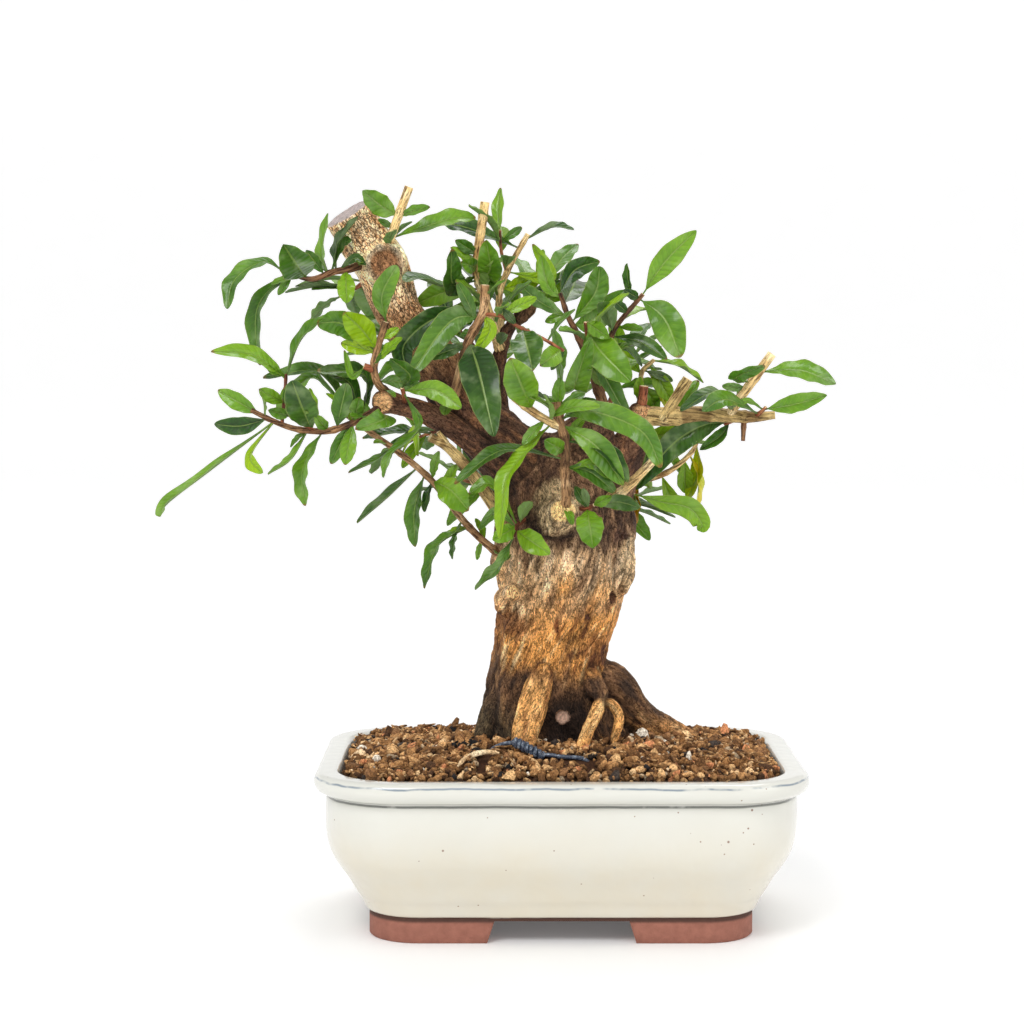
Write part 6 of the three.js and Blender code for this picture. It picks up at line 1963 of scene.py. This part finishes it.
def add_stage(settings):
    """A pale floor, soft lights, plain colours and a camera at the eye.

    The floor is round, flat in the middle and rises into a low wall along a quarter ellipse.
    """
    bend = np.linspace(0, math.pi / 2, 24)
    reach = np.concatenate([[1000, 3000], FLAT_FLOOR + FLOOR_CURVE * np.sin(bend)])[:, None]
    height = np.concatenate([[0, 0], FLOOR_WALL * (1 - np.cos(bend))])[:, None]
    angle = np.linspace(0, 2 * math.pi, FLOOR_SIDES, endpoint=False)[None]
    rings = np.stack([reach * np.cos(angle), reach * np.sin(angle), height + 0 * angle], -1).reshape(-1, 3)
    shape = Shape()
    quads = grid_faces(len(reach), FLOOR_SIDES, wrap=True)[:, ::-1]
    shape.add(np.vstack([rings, [(0, 0, 0)]]), [quads, fan_faces(np.arange(FLOOR_SIDES), len(rings))])
    shape.build("pale_floor", floor_material(settings))
    scene = bpy.context.scene
    world = bpy.data.worlds.new("soft daylight")
    scene.world = world
    world.use_nodes = True
    sky = world.node_tree.nodes["Background"]
    sky.inputs["Color"].default_value = (1.0, 1.0, 1.0, 1.0)
    sky.inputs["Strength"].default_value = settings.sky_strength
    middle = (POT_MIDDLE + np.array([0, 0, LIT_HEIGHT])) / 1000
    for name, (place, size, share) in LAMPS.items():
        light = bpy.data.lights.new(name, "AREA")
        light.size, light.energy = size, settings.key_power * share
        lamp = bpy.data.objects.new(name, light)
        lamp.location = middle + np.array(place)
        lamp.rotation_euler = (-lamp.location + Vector(middle)).to_track_quat("-Z", "Y").to_euler()
        scene.collection.objects.link(lamp)
    scene.view_settings.view_transform = "Standard"
    camera = bpy.data.cameras.new("eye")
    camera.lens, camera.sensor_width = LENS, FILM
    eye = bpy.data.objects.new("eye", camera)
    eye.location = (EYE + POT_MIDDLE) / 1000
    eye.rotation_euler = (math.pi / 2 - EYE_TILT, 0, 0)
    scene.collection.objects.link(eye)
    scene.camera = eye


# ---------------------------------------------------------------- settings and operators


class PotSettings(bpy.types.PropertyGroup):
    """What a user would change on the pot."""

    glaze_colour: FloatVectorProperty(
        name="Glaze", description="Colour of the glaze", subtype="COLOR",
        default=tuple(colour(219, 219, 212)), min=0, max=1)
    glaze_ripple: FloatProperty(
        name="Ripple", description="How far the glazed wall leans in and out, in millimetres", default=0.35,
        min=0, max=2)


class SoilSettings(bpy.types.PropertyGroup):
    """What a user would change in the soil."""

    seed: IntProperty(name="Seed", description="Starts the scatter of the grains", default=7, min=0)
    grain_size: FloatProperty(
        name="Grain size", description="Scale of every grain", default=1.0, min=0.5, max=2, subtype="FACTOR")


class WoodSettings(bpy.types.PropertyGroup):
    """What a user would change on the trunk."""

    wood_cell: FloatProperty(
        name="Detail", description="Cell in which the wood's shapes are fused", default=0.00099, min=0.0008,
        max=0.003, unit="LENGTH", precision=5)
    bark_depth: FloatProperty(
        name="Bark depth", description="Scale of the bark's ridges and cracks", default=1.0, min=0, max=2,
        subtype="FACTOR")
    bark_grain: FloatProperty(
        name="Fibre depth", description="Height of the finest fibres", default=0.001, min=0, max=0.002,
        unit="LENGTH", precision=5)


class LeafSettings(bpy.types.PropertyGroup):
    """What a user would change on the leaves."""

    leaf_fold: FloatProperty(
        name="Fold", description="Rise of the edges over the midrib, of the half width", default=0.22, min=0,
        max=0.6, subtype="FACTOR")
    leaf_wave: FloatProperty(
        name="Wave", description="How far the edges wave, in millimetres", default=1.0, min=0, max=3)
    leaf_thickness: FloatProperty(
        name="Thickness", description="Thickness beside the midrib, in millimetres", default=0.34, min=0.1,
        max=1)
    underside_colour: FloatVectorProperty(
        name="Underside", description="Colour that the underside tends to", subtype="COLOR",
        default=tuple(colour(134, 154, 110)), min=0, max=1)


class StageSettings(bpy.types.PropertyGroup):
    """What a user would change on the stage."""

    sky_strength: FloatProperty(
        name="Sky", description="Strength of the light from all round", default=0.66, min=0, max=5)
    floor_glow: FloatProperty(
        name="Floor glow", description="Light that the floor gives of itself near the pot", default=0.10,
        min=0, max=1)
    wall_glow: FloatProperty(
        name="Wall glow", description="Light that the far wall gives of itself", default=0.34, min=0, max=1)
    key_power: FloatProperty(
        name="Key light", description="Power of the largest lamp", default=17.0, min=0, max=500, unit="POWER")


class BONSAI_OT_pot(bpy.types.Operator):
    """Make the glazed pot."""

    bl_idname = "bonsai.pot"
    bl_label = "Pot"

    def execute(self, context):
        add_pot(context.scene.bonsai_pot)
        return {"FINISHED"}


class BONSAI_OT_soil(bpy.types.Operator):
    """Fill the pot with granular soil, with a few roots lying on it."""

    bl_idname = "bonsai.soil"
    bl_label = "Soil"

    def execute(self, context):
        add_soil(context.scene.bonsai_soil)
        add_soil_roots()
        return {"FINISHED"}


class BONSAI_OT_wire(bpy.types.Operator):
    """Make the twisted wire that ties the tree in, and finish the drain screens."""

    bl_idname = "bonsai.wire"
    bl_label = "Tie Wire and Screens"

    def execute(self, context):
        add_tie_wire()
        add_drain_screens()
        return {"FINISHED"}


class BONSAI_OT_trunk(bpy.types.Operator):
    """Make the trunk with its roots, arms and pruned branches."""

    bl_idname = "bonsai.trunk"
    bl_label = "Trunk"

    def execute(self, context):
        add_trunk(context.scene.bonsai_wood)
        add_branches()
        return {"FINISHED"}


class BONSAI_OT_shoots(bpy.types.Operator):
    """Make all leafy shoots."""

    bl_idname = "bonsai.shoots"
    bl_label = "Leafy Shoots"

    def execute(self, context):
        settings = context.scene.bonsai_leaf
        bark, leaf_finish = twig_material(), leaf_material(settings)
        lost = [add_shoot(number, plan, bark, leaf_finish, settings) for number, plan in enumerate(SHOOTS)]
        print("leaves left out of", len(SHOOTS), "shoots:", sum(lost), lost)
        return {"FINISHED"}


class BONSAI_OT_stage(bpy.types.Operator):
    """Set up the floor, the lights and the camera."""

    bl_idname = "bonsai.stage"
    bl_label = "Stage"

    def execute(self, context):
        add_stage(context.scene.bonsai_stage)
        return {"FINISHED"}


class BONSAI_PT_panel(bpy.types.Panel):
    """Lists every step, each under its own settings."""

    bl_label = "Bonsai"
    bl_space_type = "VIEW_3D"
    bl_region_type = "UI"
    bl_category = "Bonsai"

    def draw(self, context):
        for key, operators in PANEL_ROWS:
            box = self.layout.box()
            settings = getattr(context.scene, key)
            for name in settings.__annotations__:
                box.prop(settings, name)
            for operator in operators:
                box.operator(operator)


PANEL_ROWS = [
    ("bonsai_stage", ["bonsai.stage"]), ("bonsai_pot", ["bonsai.pot"]),
    ("bonsai_soil", ["bonsai.soil", "bonsai.wire"]), ("bonsai_wood", ["bonsai.trunk"]),
    ("bonsai_leaf", ["bonsai.shoots"]),
]
GROUPS = {
    "bonsai_pot": PotSettings, "bonsai_soil": SoilSettings, "bonsai_wood": WoodSettings,
    "bonsai_leaf": LeafSettings, "bonsai_stage": StageSettings,
}
CLASSES = [
    *GROUPS.values(), BONSAI_OT_pot, BONSAI_OT_soil, BONSAI_OT_wire, BONSAI_OT_trunk, BONSAI_OT_shoots,
    BONSAI_OT_stage, BONSAI_PT_panel,
]


def register():
    """Registers the classes and hangs the settings on the scene."""
    for cls in CLASSES:
        bpy.utils.register_class(cls)
    for key, group in GROUPS.items():
        setattr(bpy.types.Scene, key, PointerProperty(type=group))


def unregister():
    """Takes the settings and the classes away again."""
    for key in GROUPS:
        delattr(bpy.types.Scene, key)
    for cls in reversed(CLASSES):
        bpy.utils.unregister_class(cls)


def main():
    register()
    for step in (bpy.ops.bonsai.stage, bpy.ops.bonsai.pot, bpy.ops.bonsai.soil, bpy.ops.bonsai.wire,
                 bpy.ops.bonsai.trunk, bpy.ops.bonsai.shoots):
        step()


if __name__ == "__main__":
    main()
